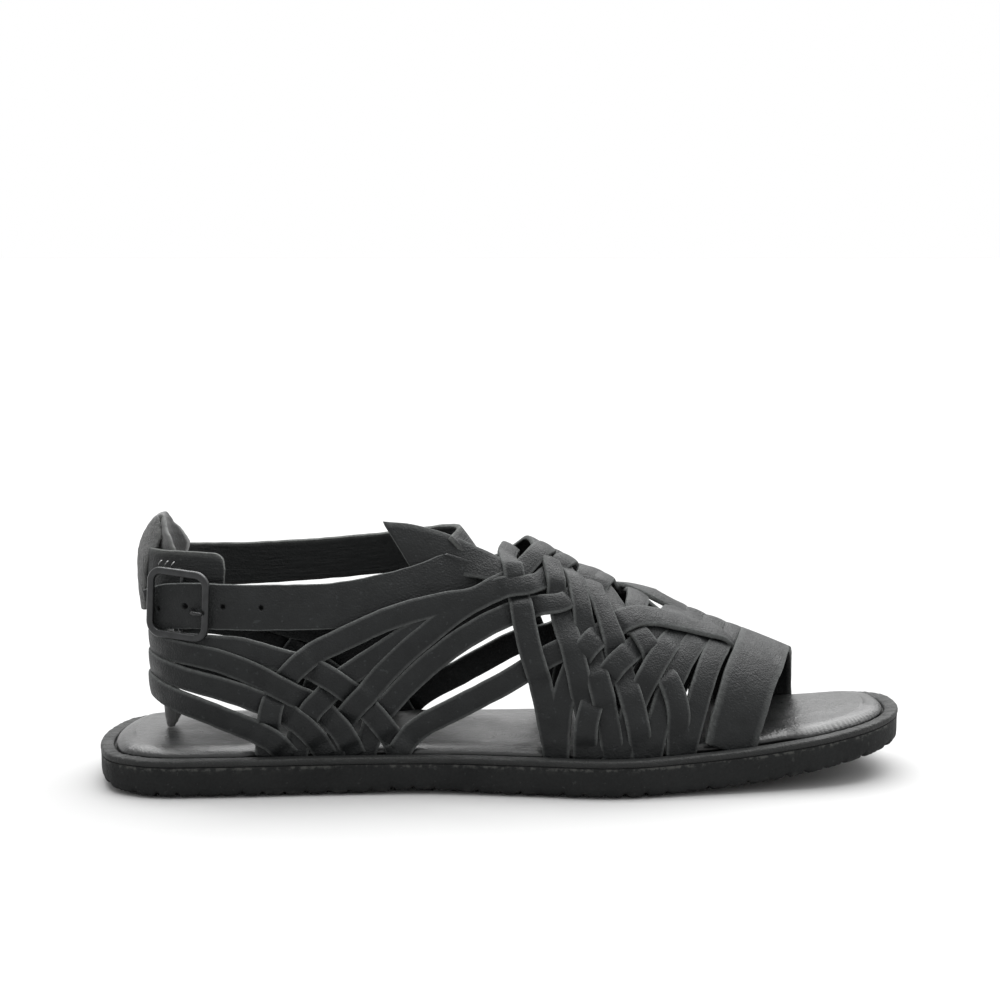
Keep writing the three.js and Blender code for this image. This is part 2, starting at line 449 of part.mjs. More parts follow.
ring.holes.push(roundedBox(new THREE.Path(), BUCKLE.length - 2 * BUCKLE.bar, BUCKLE.height - 2 * BUCKLE.bar, BUCKLE.corner - BUCKLE.bar));
const ringGeometry = new THREE.ExtrudeGeometry(ring, { depth: BUCKLE.thick, bevelEnabled: false, curveSegments: 5 });
ringGeometry.translate(0, 0, -BUCKLE.thick / 2);
// a rod of even section through points, in the buckle's own frame
function rod(rows, radius, sides = 6) {
  const points = rows.map(({ x, y, z }) => new THREE.Vector3(x, y, z));
  return skin(points.map((p, i) => {
    const along = points[Math.min(i + 1, points.length - 1)].clone().sub(points[Math.max(i - 1, 0)]).normalize();
    const one = new THREE.Vector3(along.z, 0, -along.x);
    const a = one.lengthSq() > 0.01 ? one.normalize() : new THREE.Vector3(1, 0, 0);
    const b = along.clone().cross(a).normalize();
    return Array.from({ length: sides }, (_, j) => {
      const w = (2 * Math.PI * (j + 0.5)) / sides;
      return p.clone().addScaledVector(a, radius * Math.cos(w)).addScaledVector(b, radius * Math.sin(w));
    });
  }));
}
const legY = BUCKLE.height / 2 - BUCKLE.bar / 2;
const middleRows = [
  { x: -2, y: -legY, z: 0.2 }, { x: -2, y: -legY, z: -BUCKLE_DROP + 0.5 }, { x: -2, y: -legY + 0.8, z: -BUCKLE_DROP },
  { x: -2, y: legY - 0.8, z: -BUCKLE_DROP }, { x: -2, y: legY, z: -BUCKLE_DROP + 0.5 }, { x: -2, y: legY, z: 0.2 },
];
const middleBar = rod(middleRows, 0.85);
const buckleFrame = solidOf(placeBuckle(ringGeometry)).add(solidOf(placeBuckle(middleBar)));
const roomGeometry = new THREE.ExtrudeGeometry(roundedBox(new THREE.Shape(), BUCKLE.length + 0.8, BUCKLE.height + 0.8, BUCKLE.corner), { depth: BUCKLE.thick + 1.0, bevelEnabled: false, curveSegments: 3 });
roomGeometry.translate(0, 0, -BUCKLE.thick / 2 - 0.6);
const buckleRoom = solidOf(placeBuckle(roomGeometry)).add(solidOf(placeBuckle(rod(middleRows, 1.3))));
const PRONG = [
  { x: 0.1, y: -1.8, z: -5.1 }, { x: 1.7, y: -1.8, z: -4.8 }, { x: 3.6, y: -1.8, z: -3.2 }, { x: 5.3, y: -1.8, z: -0.7 },
  { x: 6.8, y: -1.8, z: 1.5 }, { x: 8.6, y: -1.8, z: 2.3 }, { x: 11.2, y: -1.8, z: 2.2 },
];
const prong = solidOf(placeBuckle(rod(PRONG, 0.8)));
const prongRoom = solidOf(placeBuckle(rod(PRONG.slice(1), 1.25)));

// the heel tab climbs inside the heel straps and folds over the band: rows hold its middle and half width
const HEEL_TAB = [
  { x: 22.8, z: 17.2, half: 3.2 }, { x: 22.2, z: 20.5, half: 6.2 }, { x: 21.4, z: 30, half: 7.6 }, { x: 20.9, z: 44, half: 8.6 },
  { x: 21.1, z: 58, half: 10.2 }, { x: 21.3, z: 68, half: 12.2 }, { x: 21.3, z: 78, half: 12.8 }, { x: 21.1, z: 84, half: 11.8 },
  { x: 20.4, z: 89.5, half: 8.6 }, { x: 19.4, z: 92.6, half: 6.6 }, { x: 17.8, z: 91.2, half: 7.4 }, { x: 16.0, z: 87.2, half: 8.4 },
  { x: 14.2, z: 82.5, half: 9 }, { x: 13.6, z: 76, half: 9.2 }, { x: 13.7, z: 67.5, half: 8.6 }, { x: 14.5, z: 61, half: 7.4 },
];
const TAB_THICK = 1.8;
const TAB_ROUND = 21; // radius of the heel in plan behind the tab
const tab = skin(HEEL_TAB.map((row, i) => {
  const a = HEEL_TAB[Math.max(i - 1, 0)];
  const b = HEEL_TAB[Math.min(i + 1, HEEL_TAB.length - 1)];
  const d = new THREE.Vector3(b.x - a.x, 0, b.z - a.z).normalize();
  const n = new THREE.Vector3(-d.z, 0, d.x);
  const edge = [-1, -0.5, 0, 0.5, 1].map((j) => {
    const y = j * row.half;
    return new THREE.Vector3(row.x + (y * y) / (2 * TAB_ROUND), y, row.z);
  });
  const face = (h) => edge.map((p) => p.clone().addScaledVector(n, h * TAB_THICK / 2));
  return [...face(-1), ...face(1).reverse()];
}));

const woven = joinAll(pieces).subtract(keepClear);
// the joined straps less the room of the pieces that pass through them; slivers that the cuts leave are dropped
const upper = woven.subtract(frontBand(GAP)).subtract(backBand(GAP)).subtract(buckleRoom).decompose()
  .reduce((best, body) => (body.volume() > best.volume() ? body : best));
const ankleFront = frontBand(0).subtract(prongRoom);
const ankleBack = backBand(0);

// ---------------------------------------------------------------- scene graph
const leather = (colour, roughness) => new THREE.MeshStandardMaterial({ color: colour, roughness, metalness: 0 });
const group = new THREE.Group();
function part(name, geometry, material) {
  const mesh = new THREE.Mesh(geometry, material);
  mesh.name = name;
  group.add(mesh);
}
part("outsole", outsole, new THREE.MeshStandardMaterial({ color: 0x1b1c1c, roughness: 0.85, metalness: 0 }));
part("footbed_board", board, leather(0x2a2b2b, 0.7));
part("insole", insole, leather(0x2b2c2c, 0.5));
part("upper", geometryFrom(upper), leather(0x242626, 0.6));
part("ankle_strap_front", geometryFrom(ankleFront), leather(0x242626, 0.6));
part("ankle_strap_back", geometryFrom(ankleBack), leather(0x242626, 0.6));
part("heel_tab", tab, leather(0x2c2e2e, 0.8));
part("buckle_frame", geometryFrom(buckleFrame), new THREE.MeshStandardMaterial({ color: 0x1d1d1f, roughness: 0.35, metalness: 0.8 }));
part("buckle_prong", geometryFrom(prong), new THREE.MeshStandardMaterial({ color: 0x1d1d1f, roughness: 0.35, metalness: 0.8 }));
group.position.set(-LENGTH / 2, -4.9, 0);
export default group;
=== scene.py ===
# Woven-strap sandal, right foot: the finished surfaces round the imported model, camera, light and floor.
import math
import bpy
import numpy as np
from mathutils import Matrix, Vector


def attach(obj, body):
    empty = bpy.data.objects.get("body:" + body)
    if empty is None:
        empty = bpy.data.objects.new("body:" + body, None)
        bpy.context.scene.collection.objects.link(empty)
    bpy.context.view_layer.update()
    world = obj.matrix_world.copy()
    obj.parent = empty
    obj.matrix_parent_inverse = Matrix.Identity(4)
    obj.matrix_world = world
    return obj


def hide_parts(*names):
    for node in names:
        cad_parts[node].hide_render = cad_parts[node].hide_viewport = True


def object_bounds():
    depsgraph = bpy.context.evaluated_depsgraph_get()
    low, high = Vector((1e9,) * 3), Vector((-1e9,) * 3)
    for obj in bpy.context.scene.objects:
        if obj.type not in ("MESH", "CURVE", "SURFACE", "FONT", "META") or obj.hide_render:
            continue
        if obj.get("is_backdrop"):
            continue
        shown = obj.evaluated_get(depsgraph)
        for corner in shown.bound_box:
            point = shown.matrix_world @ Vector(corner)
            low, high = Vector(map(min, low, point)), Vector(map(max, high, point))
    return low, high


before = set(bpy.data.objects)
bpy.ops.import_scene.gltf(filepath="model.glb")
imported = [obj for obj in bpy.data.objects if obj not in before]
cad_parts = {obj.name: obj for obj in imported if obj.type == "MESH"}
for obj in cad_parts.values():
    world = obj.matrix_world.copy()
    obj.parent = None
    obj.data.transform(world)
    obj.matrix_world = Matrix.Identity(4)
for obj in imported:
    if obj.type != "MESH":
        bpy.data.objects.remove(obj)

SIZE_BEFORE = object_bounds()
SHIFT = np.array([-144.65, -4.9, 0.0])  # drawing millimetres (heel end at x = 0) to the part's frame

# ------------------------------------------------------------------ sizes, in millimetres
LENGTH = 289.3
FOOTBED_Z = 13.1
TOE_SPRING = 9.9
SPRING_START = 180.0
BOARD = 2.4
RIM_WIDTH = 4.6
PAD_CROWN = 3.3
LAST_INSET = 7.7
SPINE_X = 45.0
HEEL_X = 19.0
WALL_P = 0.8
WALL_Q = 0.92
STRAP = 1.8
WOVEN_WIDTH = 8.3
LOW = 0.12  # inner face of an under-lying strap over the last
HIGH = 2.35  # inner face of an over-lying strap

OUTLINE = [(0, 0), (1.9, -15), (7.5, -29), (20, -36.8), (45, -37.3), (80, -34.6), (120, -33.4), (150, -37), (182, -41.2),
           (210, -36.8), (240, -31.2), (262, -25.4), (278, -16.6), (286.6, -5.5), (289.3, 9), (286.8, 25), (278, 35.6),
           (262, 41.5), (240, 47.4), (212, 51), (190, 47.8), (160, 40.8), (125, 39), (80, 39.8), (45, 38.8), (20, 37.8),
           (7.5, 31), (1.9, 17)]
UNDERSIDE = [(0, 2.0), (8, 0.9), (22, 0), (85, 0), (115, 0.9), (145, 0), (190, 0), (205, 0.6), (220, 1.6), (235, 3.0),
             (250, 5.0), (265, 7.4), (280, 10.0), (LENGTH, 11.7)]
CROWN = [(0, 215), (45, 190), (70, 165), (90, 140), (105, 121), (120, 105), (132, 95.5), (142, 89), (150, 84.2), (160, 78.2),
         (172, 71.6), (185, 65.8), (200, 59), (215, 52.3), (232, 45.8), (250, 38.8)]
RIDGE = [(0, 0), (45, 0.5), (100, 1), (150, 2.5), (200, 6), (250, 9)]


# ------------------------------------------------------------------ curves
def through(rows):
    """Smooth curve through (x, y) rows without overshoot."""
    xs = np.array([r[0] for r in rows], float)
    ys = np.array([r[1] for r in rows], float)
    m = np.zeros(len(xs))
    for i in range(len(xs)):
        if 0 < i < len(xs) - 1:
            a = (ys[i] - ys[i - 1]) / (xs[i] - xs[i - 1])
            b = (ys[i + 1] - ys[i]) / (xs[i + 1] - xs[i])
            m[i] = 0 if a * b <= 0 else 2 * a * b / (a + b)
        elif i == 0:
            m[i] = (ys[1] - ys[0]) / (xs[1] - xs[0])
        else:
            m[i] = (ys[-1] - ys[-2]) / (xs[-1] - xs[-2])

    def f(x):
        x = np.asarray(x, float)
        i = np.clip(np.searchsorted(xs, x, side="right") - 1, 0, len(xs) - 2)
        h = xs[i + 1] - xs[i]
        t = (x - xs[i]) / h
        u = np.clip(t, 0, 1)
        y = ((2 * u ** 3 - 3 * u ** 2 + 1) * ys[i] + (u ** 3 - 2 * u ** 2 + u) * h * m[i]
             + (-2 * u ** 3 + 3 * u ** 2) * ys[i + 1] + (u ** 3 - u ** 2) * h * m[i + 1])
        return y + np.where(t < 0, (x - xs[i]) * m[i], 0) + np.where(t > 1, (x - xs[i + 1]) * m[i + 1], 0)
    return f


def catmull(points, per, closed=False):
    """Centripetal Catmull-Rom through points, per samples a span."""
    P = np.array(points, float)
    n = len(P)
    out = []
    for i in range(n if closed else n - 1):
        if closed:
            p0, p1, p2, p3 = P[(i - 1) % n], P[i], P[(i + 1) % n], P[(i + 2) % n]
        else:
            p1, p2 = P[i], P[i + 1]
            p0 = P[i - 1] if i > 0 else 2 * p1 - p2
            p3 = P[i + 2] if i + 2 < n else 2 * p2 - p1
        d0 = max(np.sum((p0 - p1) ** 2) ** .25, 1e-6)
        d1 = max(np.sum((p1 - p2) ** 2) ** .25, 1e-6)
        d2 = max(np.sum((p2 - p3) ** 2) ** .25, 1e-6)
        t1 = ((p1 - p0) / d0 - (p2 - p0) / (d0 + d1) + (p2 - p1) / d1) * d1
        t2 = ((p2 - p1) / d1 - (p3 - p1) / (d1 + d2) + (p3 - p2) / d2) * d1
        for k in range(per):
            t = k / per
            out.append(p1 + t1 * t + (-3 * p1 + 3 * p2 - 2 * t1 - t2) * t * t + (2 * p1 - 2 * p2 + t1 + t2) * t ** 3)
    if not closed:
        out.append(P[-1])
    return np.array(out)


def ease(t):
    u = np.clip(t, 0, 1)
    return u * u * (3 - 2 * u)


def footbed(x):
    return FOOTBED_Z + TOE_SPRING * (np.maximum(np.asarray(x, float) - SPRING_START, 0) / 109) ** 2


underside = through(UNDERSIDE)
crown = through(CROWN)
ridge = through(RIDGE)
_o = catmull(OUTLINE, 24, closed=True)
_o = np.roll(_o, -int(np.argmin(_o[:, 0])), axis=0)
_t = int(np.argmax(_o[:, 0]))
OUTER = _o[:_t + 1]
INNER = np.vstack([_o[_t:], _o[:1]])[::-1]


def half_width(x, side):
    edge = OUTER if side < 0 else INNER
    return np.abs(np.interp(x, edge[:, 0], edge[:, 1]))


# ------------------------------------------------------------------ the last
def plan_radius(s, side):
    s = np.asarray(s, float)
    beside = half_width(SPINE_X, side) - LAST_INSET
    turn = np.clip((SPINE_X - s) / SPINE_X, 0, 1) * np.pi / 2
    behind = SPINE_X - HEEL_X
    fan = 1 / ((np.abs(np.cos(turn)) / beside) ** 2.3 + (np.abs(np.sin(turn)) / behind) ** 2.3) ** (1 / 2.3)
    return np.where(s < SPINE_X, fan, half_width(np.maximum(s, SPINE_X), side) - LAST_INSET)


def on_last(s, phi):
    s = np.asarray(s, float)
    phi = np.asarray(phi, float)
    side = np.where(phi <= 90, -1.0, 1.0)
    up = np.where(phi <= 90, phi, 180 - phi)
    a = np.radians(np.clip(up, 0, 90))
    turn = np.clip((SPINE_X - s) / SPINE_X, 0, 1) * np.pi / 2
    middle = ridge(s) * np.cos(turn)
    foot = footbed(np.maximum(s, SPINE_X))
    radius = np.where(side < 0, plan_radius(s, -1) + middle, plan_radius(s, 1) - middle)
    out = radius * np.clip(np.cos(a), 0, 1) ** WALL_P
    z = foot + (crown(s) - foot) * np.clip(np.sin(a), 0, 1) ** WALL_Q + np.minimum(up, 0) * 0.4
    return np.stack([np.maximum(s, SPINE_X) - out * np.sin(turn), middle + side * out * np.cos(turn), z], -1)


def outward(s, phi):
    s = np.asarray(s, float)
    f = np.clip(phi, 1.5, 178.5)
    ds = on_last(s + 0.6, f) - on_last(np.maximum(s - 0.6, 0), f)
    dp = on_last(s, f + 1.2) - on_last(s, f - 1.2)
    n = np.cross(dp, ds)
    n /= np.maximum(np.linalg.norm(n, axis=-1, keepdims=True), 1e-9)
    p = on_last(s, f)
    c = np.stack([np.maximum(s, SPINE_X), ridge(np.maximum(s, SPINE_X)), np.full_like(p[..., 2], 20.0)], -1)
    return n * np.where(np.sum(n * (p - c), -1, keepdims=True) < 0, -1.0, 1.0)


def phi_at(s, z):
    foot = footbed(np.maximum(s, SPINE_X))
    return np.degrees(np.arcsin(np.clip((z - foot) / (crown(s) - foot), 0, 1) ** (1 / WALL_Q)))


# ------------------------------------------------------------------ meshes and pieces
def wobble(t, seed, wave):
    """Slow irregular wave of about unit height along t."""
    r = np.random.RandomState(seed)
    t = np.asarray(t, float)
    out = np.zeros_like(t)
    for k in range(4):
        f = (0.6 + 0.9 * k) / wave
        out = out + math.pow(0.7, k) * np.sin(2 * np.pi * (f * t + r.rand()))
    return out / 2.0


MATERIALS = {}
PIECES = []


def piece(name, verts, faces, slot, uv=None, attrs=None, replaces=None, material=None):
    """A mesh object from drawing millimetres."""
    v = (np.asarray(verts, float) + SHIFT) / 1000.0
    me = bpy.data.meshes.new(name)
    me.from_pydata(v.tolist(), [], [list(map(int, f)) for f in faces])
    me.validate()
    me.update()
    if uv is not None:
        layer = me.uv_layers.new(name="UVMap")
        idx = np.empty(len(me.loops), dtype=np.int32)
        me.loops.foreach_get("vertex_index", idx)
        layer.data.foreach_set("uv", np.asarray(uv, float)[idx].astype(np.float32).ravel())
    for key, val in (attrs or {}).items():
        at = me.attributes.new(key, "FLOAT", "POINT")
        at.data.foreach_set("value", np.asarray(val, np.float32))
    me.polygons.foreach_set("use_smooth", np.ones(len(me.polygons), dtype=bool))
    ob = bpy.data.objects.new(name, me)
    bpy.context.scene.collection.objects.link(ob)
    me.materials.append(MATERIALS[material or slot])
    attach(ob, "root")
    if replaces:
        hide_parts(*replaces)
    PIECES.append(ob)
    return ob


def tube_faces(count, m, closed_path=False):
    faces = []
    for i in range(count - (0 if closed_path else 1)):
        a0 = i * m
        b0 = ((i + 1) % count) * m
        for j in range(m):
            k = (j + 1) % m
            faces.append((a0 + j, a0 + k, b0 + k, b0 + j))
    return faces


def fix_outward(verts, faces):
    v = np.asarray(verts, float)
    vol = 0.0
    for f in faces:
        a = v[f[0]]
        for q in range(1, len(f) - 1):
            vol += float(np.dot(a, np.cross(v[f[q]], v[f[q + 1]])))
    return faces if vol > 0 else [tuple(reversed(f)) for f in faces]


def section(thick, bevel=0.36, crowned=0.16, top=8, bottom=5):
    """Strap section in units of half width (w) and millimetres (h); the third value marks the cut edge.
    w is (side, inset): half width less inset."""
    pts = []
    # the top corners carry half the paler cut-edge tone: painted highlight along the strap rims
    for q in np.linspace(-1, 1, top):
        pts.append((q, bevel * (1 if abs(q) == 1 else 0), thick + crowned * (1 - q * q), 0.0 if abs(q) < 1 else 0.5))
    pts += [(1, bevel * 0.3, thick - bevel * 0.3, 0.8), (1, 0.0, thick - bevel, 1.0), (1, 0.0, thick * 0.5, 1.0), (1, 0.02, bevel * 0.8, 1.0),
            (1, bevel * 0.7, 0.0, 0.6)]
    for q in np.linspace(0.8, -0.8, bottom):
        pts.append((q, 0.0, 0.04, 0.0))
    pts += [(-1, bevel * 0.7, 0.0, 0.6), (-1, 0.02, bevel * 0.8, 1.0), (-1, 0.0, thick * 0.5, 1.0), (-1, 0.0, thick - bevel, 1.0),
            (-1, bevel * 0.3, thick - bevel * 0.3, 0.8)]
    return pts


def ribbon(name, at, n, width, height, slot="strap_leather", thick=STRAP, seed=1, replaces=None, slant=(0.0, 0.0),
           ends=(0.0, 0.0), material=None, crowned=0.16, bow=0.0, rough=0.1, tilt=0.0, pits=(), top=8, closed_ends=(True, True)):
    """Strap along the points at with outward normals n; height is its inner face over the points."""
    at = np.asarray(at, float)
    m = len(at)
    width = np.broadcast_to(np.asarray(width, float), (m,)).copy()
    height = np.broadcast_to(np.asarray(height, float), (m,))
    along = np.empty_like(at)
    along[1:-1] = at[2:] - at[:-2]
    along[0] = at[1] - at[0]
    along[-1] = at[-1] - at[-2]
    along /= np.linalg.norm(along, axis=1, keepdims=True)
    across = np.cross(n, along)
    across /= np.linalg.norm(across, axis=1, keepdims=True)
    up = np.cross(along, across)
    up *= np.where(np.sum(up * n, 1, keepdims=True) < 0, -1.0, 1.0)
    run = np.concatenate([[0], np.cumsum(np.linalg.norm(np.diff(at, axis=0), axis=1))])
    width += rough * 1.2 * wobble(run, seed, 34.0)
    side_l = rough * wobble(run, seed + 7, 19.0)
    rise = rough * 0.8 * wobble(run, seed + 13, 27.0)
    # rounded ends: half width shrinks towards the end over the corner radius
    half = width / 2
    halves = [half.copy(), half.copy()]
    for e, r in enumerate(ends):
        if r > 0:
            d = run if e == 0 else run[-1] - run
            cut = np.where(d < r, r - np.sqrt(np.maximum(r * r - (r - d) ** 2, 0)), 0)
            halves[0] = halves[0] - cut
            halves[1] = halves[1] - cut
    prof = section(thick, crowned=crowned, top=top)
    tilt = np.broadcast_to(np.asarray(tilt, float), (m,))
    bow = np.broadcast_to(np.asarray(bow, float), (m,))
    total = run[-1]
    rows = []
    order = list(range(m))
    verts, uv, cut, inner, pit = [], [], [], [], []

    def ring(i, shrink, push):
        base = at[i] + along[i] * push
        for (q, inset, h, c) in prof:
            hw = halves[0][i] if q < 0 else halves[1][i]
            w = q * max(hw - inset, 0.05) if abs(q) == 1 else q * hw
            w = w * (1 - shrink * 0.18) + side_l[i]
            hh = thick * 0.5 + (h - thick * 0.5) * (1 - shrink * 0.55)
            hh += bow[i] * (w / max(half[i], 0.1)) ** 2 + tilt[i] * w / max(half[i], 0.1)
            deep = 0.0
            if h > thick * 0.9 and abs(q) < 1:
                for (pr, pw, rad) in pits:
                    d = math.hypot(run[i] + push - pr, w - pw) / rad
                    deep = max(deep, float(ease((1.15 - d) / 0.3)))
                hh -= 1.5 * deep
            pit.append(deep)
            p = base + across[i] * w + up[i] * (height[i] + rise[i] + hh)
            f0 = slant[0] * max(0, 1 - run[i] / 14.0) * (w / max(half[i], 0.1))
            f1 = slant[1] * max(0, 1 - (total - run[i]) / 14.0) * (w / max(half[i], 0.1))
            p = p + along[i] * (f0 + f1)
            verts.append(p)
            uv.append(((run[i] + push + seed * 37.0) / 1000.0, (w + seed * 11.0) / 1000.0))
            cut.append(max(c, shrink))
            inner.append(1.0 if h <= 0.05 and abs(q) < 1 else 0.0)

    if closed_ends[0]:
        ring(0, 1.0, -0.02)
    for i in order:
        ring(i, 0.0, 0.3 if i == 0 and closed_ends[0] else (-0.3 if i == m - 1 and closed_ends[1] else 0.0))
    if closed_ends[1]:
        ring(m - 1, 1.0, 0.02)
    k = len(prof)
    rings = len(verts) // k
    faces = tube_faces(rings, k)
    verts = np.array(verts)
    for e in (0, rings - 1):
        c = verts[e * k:(e + 1) * k].mean(axis=0)
        verts = np.vstack([verts, c])
        uv.append(uv[e * k])
        cut.append(1.0)
        inner.append(0.0)
        pit.append(0.0)
        ci = len(verts) - 1
        for j in range(k):
            a, b = e * k + j, e * k + (j + 1) % k
            faces.append((ci, b, a) if e == 0 else (ci, a, b))
    faces = fix_outward(verts, faces)
    return piece(name, verts, faces, slot, uv=uv, attrs={"cut": cut, "inside": inner, "pit": pit}, replaces=replaces, material=material)


# ------------------------------------------------------------------ node helpers
def tree_of(name):
    m = bpy.data.materials.new(name)
    m.use_nodes = True
    t = m.node_tree
    t.nodes.clear()
    out = t.nodes.new("ShaderNodeOutputMaterial")
    b = t.nodes.new("ShaderNodeBsdfPrincipled")
    t.links.new(b.outputs["BSDF"], out.inputs["Surface"])
    return m, t, b


def node(t, kind, **vals):
    n = t.nodes.new(kind)
    for k, v in vals.items():
        if hasattr(n, k):
            setattr(n, k, v)
    return n


def link(t, a, b):
    t.links.new(a, b)


def noise(t, coord, scale, detail=3.0, rough=0.55, distortion=0.0):
    n = node(t, "ShaderNodeTexNoise")
    n.inputs["Scale"].default_value = scale
    n.inputs["Detail"].default_value = detail
    n.inputs["Roughness"].default_value = rough
    n.inputs["Distortion"].default_value = distortion
    link(t, coord, n.inputs["Vector"])
    return n.outputs["Fac"]


def voronoi(t, coord, scale, feature="F1"):
    n = node(t, "ShaderNodeTexVoronoi", feature=feature)
    n.inputs["Scale"].default_value = scale
    link(t, coord, n.inputs["Vector"])
    return n.outputs["Distance"]


def ramp(t, fac, stops):
    r = node(t, "ShaderNodeValToRGB")
    els = r.color_ramp.elements
    while len(els) < len(stops):
        els.new(0.5)
    for e, (p, c) in zip(els, stops):
        e.position = p
        e.color = (*c, 1.0) if len(c) == 3 else c
    link(t, fac, r.inputs["Fac"])
    return r.outputs["Color"]


def grey(v):
    return (v, v, v)


def maths(t, op, a, b=None, c=None, clamp=False):
    n = node(t, "ShaderNodeMath", operation=op, use_clamp=clamp)
    for i, x in enumerate((a, b, c)):
        if x is None:
            continue
        if isinstance(x, (int, float)):
            n.inputs[i].default_value = x
        else:
            link(t, x, n.inputs[i])
    return n.outputs[0]


def mix(t, fac, a, b):
    n = node(t, "ShaderNodeMix", data_type="RGBA")
    if isinstance(fac, (int, float)):
        n.inputs[0].default_value = fac
    else:
        link(t, fac, n.inputs[0])
    for i, x in ((6, a), (7, b)):
        if isinstance(x, tuple):
            n.inputs[i].default_value = (*x, 1.0)
        else:
            link(t, x, n.inputs[i])
    return n.outputs[2]


def attribute(t, name):
    n = node(t, "ShaderNodeAttribute", attribute_name=name)
    return n.outputs["Fac"]


def bump(t, height, strength, distance, normal=None):
    n = node(t, "ShaderNodeBump")
    n.inputs["Strength"].default_value = strength
    n.inputs["Distance"].default_value = distance
    link(t, height, n.inputs["Height"])
    if normal is not None:
        link(t, normal, n.inputs["Normal"])
    return n.outputs["Normal"]


def mapping(t, coord, scale):
    n = node(t, "ShaderNodeMapping")
    n.inputs["Scale"].default_value = scale
    link(t, coord, n.inputs["Vector"])
    return n.outputs["Vector"]


def leather(name, dark, light, edge, rough=(0.42, 0.62), grain=1.0, holes=None, creases=0.0, specular=0.22, coat=0.0, inside=None):
    """Grained leather: cell grain, slow tone, pale specks, paler cut edges that are partly the raw edge's own tone and
    partly painted highlight along the rims.
    """
    m, t, b = tree_of(name)
    tc = node(t, "ShaderNodeTexCoord")
    obj = tc.outputs["Object"]
    uvc = tc.outputs["UV"]
    slow = noise(t, obj, 85.0, 6.0, 0.72)
    fine = noise(t, obj, 900.0, 5.0, 0.65)
    tone = ramp(t, slow, [(0.3, dark), (0.72, light)])
    tone = mix(t, maths(t, "MULTIPLY", fine, 0.35), tone, light)
    # pale specks of dust and worn grain
    speck = noise(t, obj, 620.0, 2.0, 0.5)
    speck = maths(t, "GREATER_THAN", speck, 0.69)
    tone = mix(t, maths(t, "MULTIPLY", speck, 0.35), tone, tuple(min(1, 3.2 * v) for v in light))
    # cut edges painted paler: partly the raw leather edge's own tone, partly painted highlight along the edge rims
    cut = attribute(t, "cut")
    fray = noise(t, obj, 700.0, 4.0, 0.7)
    edge_tone_with_highlight = ramp(t, fray, [(0.35, tuple(v * 0.55 for v in edge)), (0.7, edge)])
    tone = mix(t, cut, tone, edge_tone_with_highlight)
    if inside is not None:
        tone = mix(t, maths(t, "MULTIPLY", attribute(t, "inside"), 0.9), tone, inside)
    rgh = ramp(t, noise(t, obj, 130.0, 4.0, 0.6), [(0.3, grey(rough[0])), (0.75, grey(rough[1]))])
    rgh = mix(t, cut, rgh, grey(0.85))
    cells = voronoi(t, obj, 1500.0)
    h = maths(t, "ADD", maths(t, "MULTIPLY", cells, 0.6), maths(t, "MULTIPLY", fine, 0.7))
    if creases:
        long = noise(t, mapping(t, uvc, (90.0, 900.0, 1.0)), 1.0, 4.0, 0.6, 0.6)
        h = maths(t, "ADD", h, maths(t, "MULTIPLY", long, creases))
    nrm = bump(t, h, 0.8 * grain, 0.0003)
    nrm = bump(t, noise(t, obj, 240.0, 4.0, 0.6), 0.5, 0.0006, nrm)
    # buckle holes: the shallow pits are painted near-black, painted shade standing in for the dark inside of each hole
    if holes:
        tone = mix(t, attribute(t, "pit"), tone, (0.0012, 0.0012, 0.0012))
        rgh = mix(t, attribute(t, "pit"), rgh, grey(0.95))
    link(t, tone, b.inputs["Base Color"])
    link(t, rgh, b.inputs["Roughness"])
    link(t, nrm, b.inputs["Normal"])
    b.inputs["Specular IOR Level"].default_value = specular
    b.inputs["Coat Weight"].default_value = coat
    b.inputs["Coat Roughness"].default_value = 0.35
    MATERIALS[name] = m
    return m


BLACK = (0.0034, 0.0039, 0.0041)
CHARCOAL = (0.0110, 0.0122, 0.0125)
leather("strap_leather", BLACK, CHARCOAL, (0.105, 0.11, 0.108), creases=0.5)
leather("toe_band_leather", BLACK, CHARCOAL, (0.105, 0.11, 0.108), creases=0.8)
leather("ankle_leather", BLACK, CHARCOAL, (0.12, 0.126, 0.124), creases=0.6, holes=True)
leather("ankle_inner_leather", BLACK, CHARCOAL, (0.1, 0.104, 0.1), creases=2.2, inside=(0.019, 0.0205, 0.0205))
leather("insole_leather", (0.0055, 0.006, 0.006), (0.0095, 0.0102, 0.0102), (0.03, 0.03, 0.03), rough=(0.27, 0.38), grain=0.5, specular=0.42, coat=0.2)
leather("board_leather", (0.0065, 0.0069, 0.0068), (0.0125, 0.0134, 0.013), (0.03, 0.03, 0.03), rough=(0.5, 0.7), grain=1.2, specular=0.3)


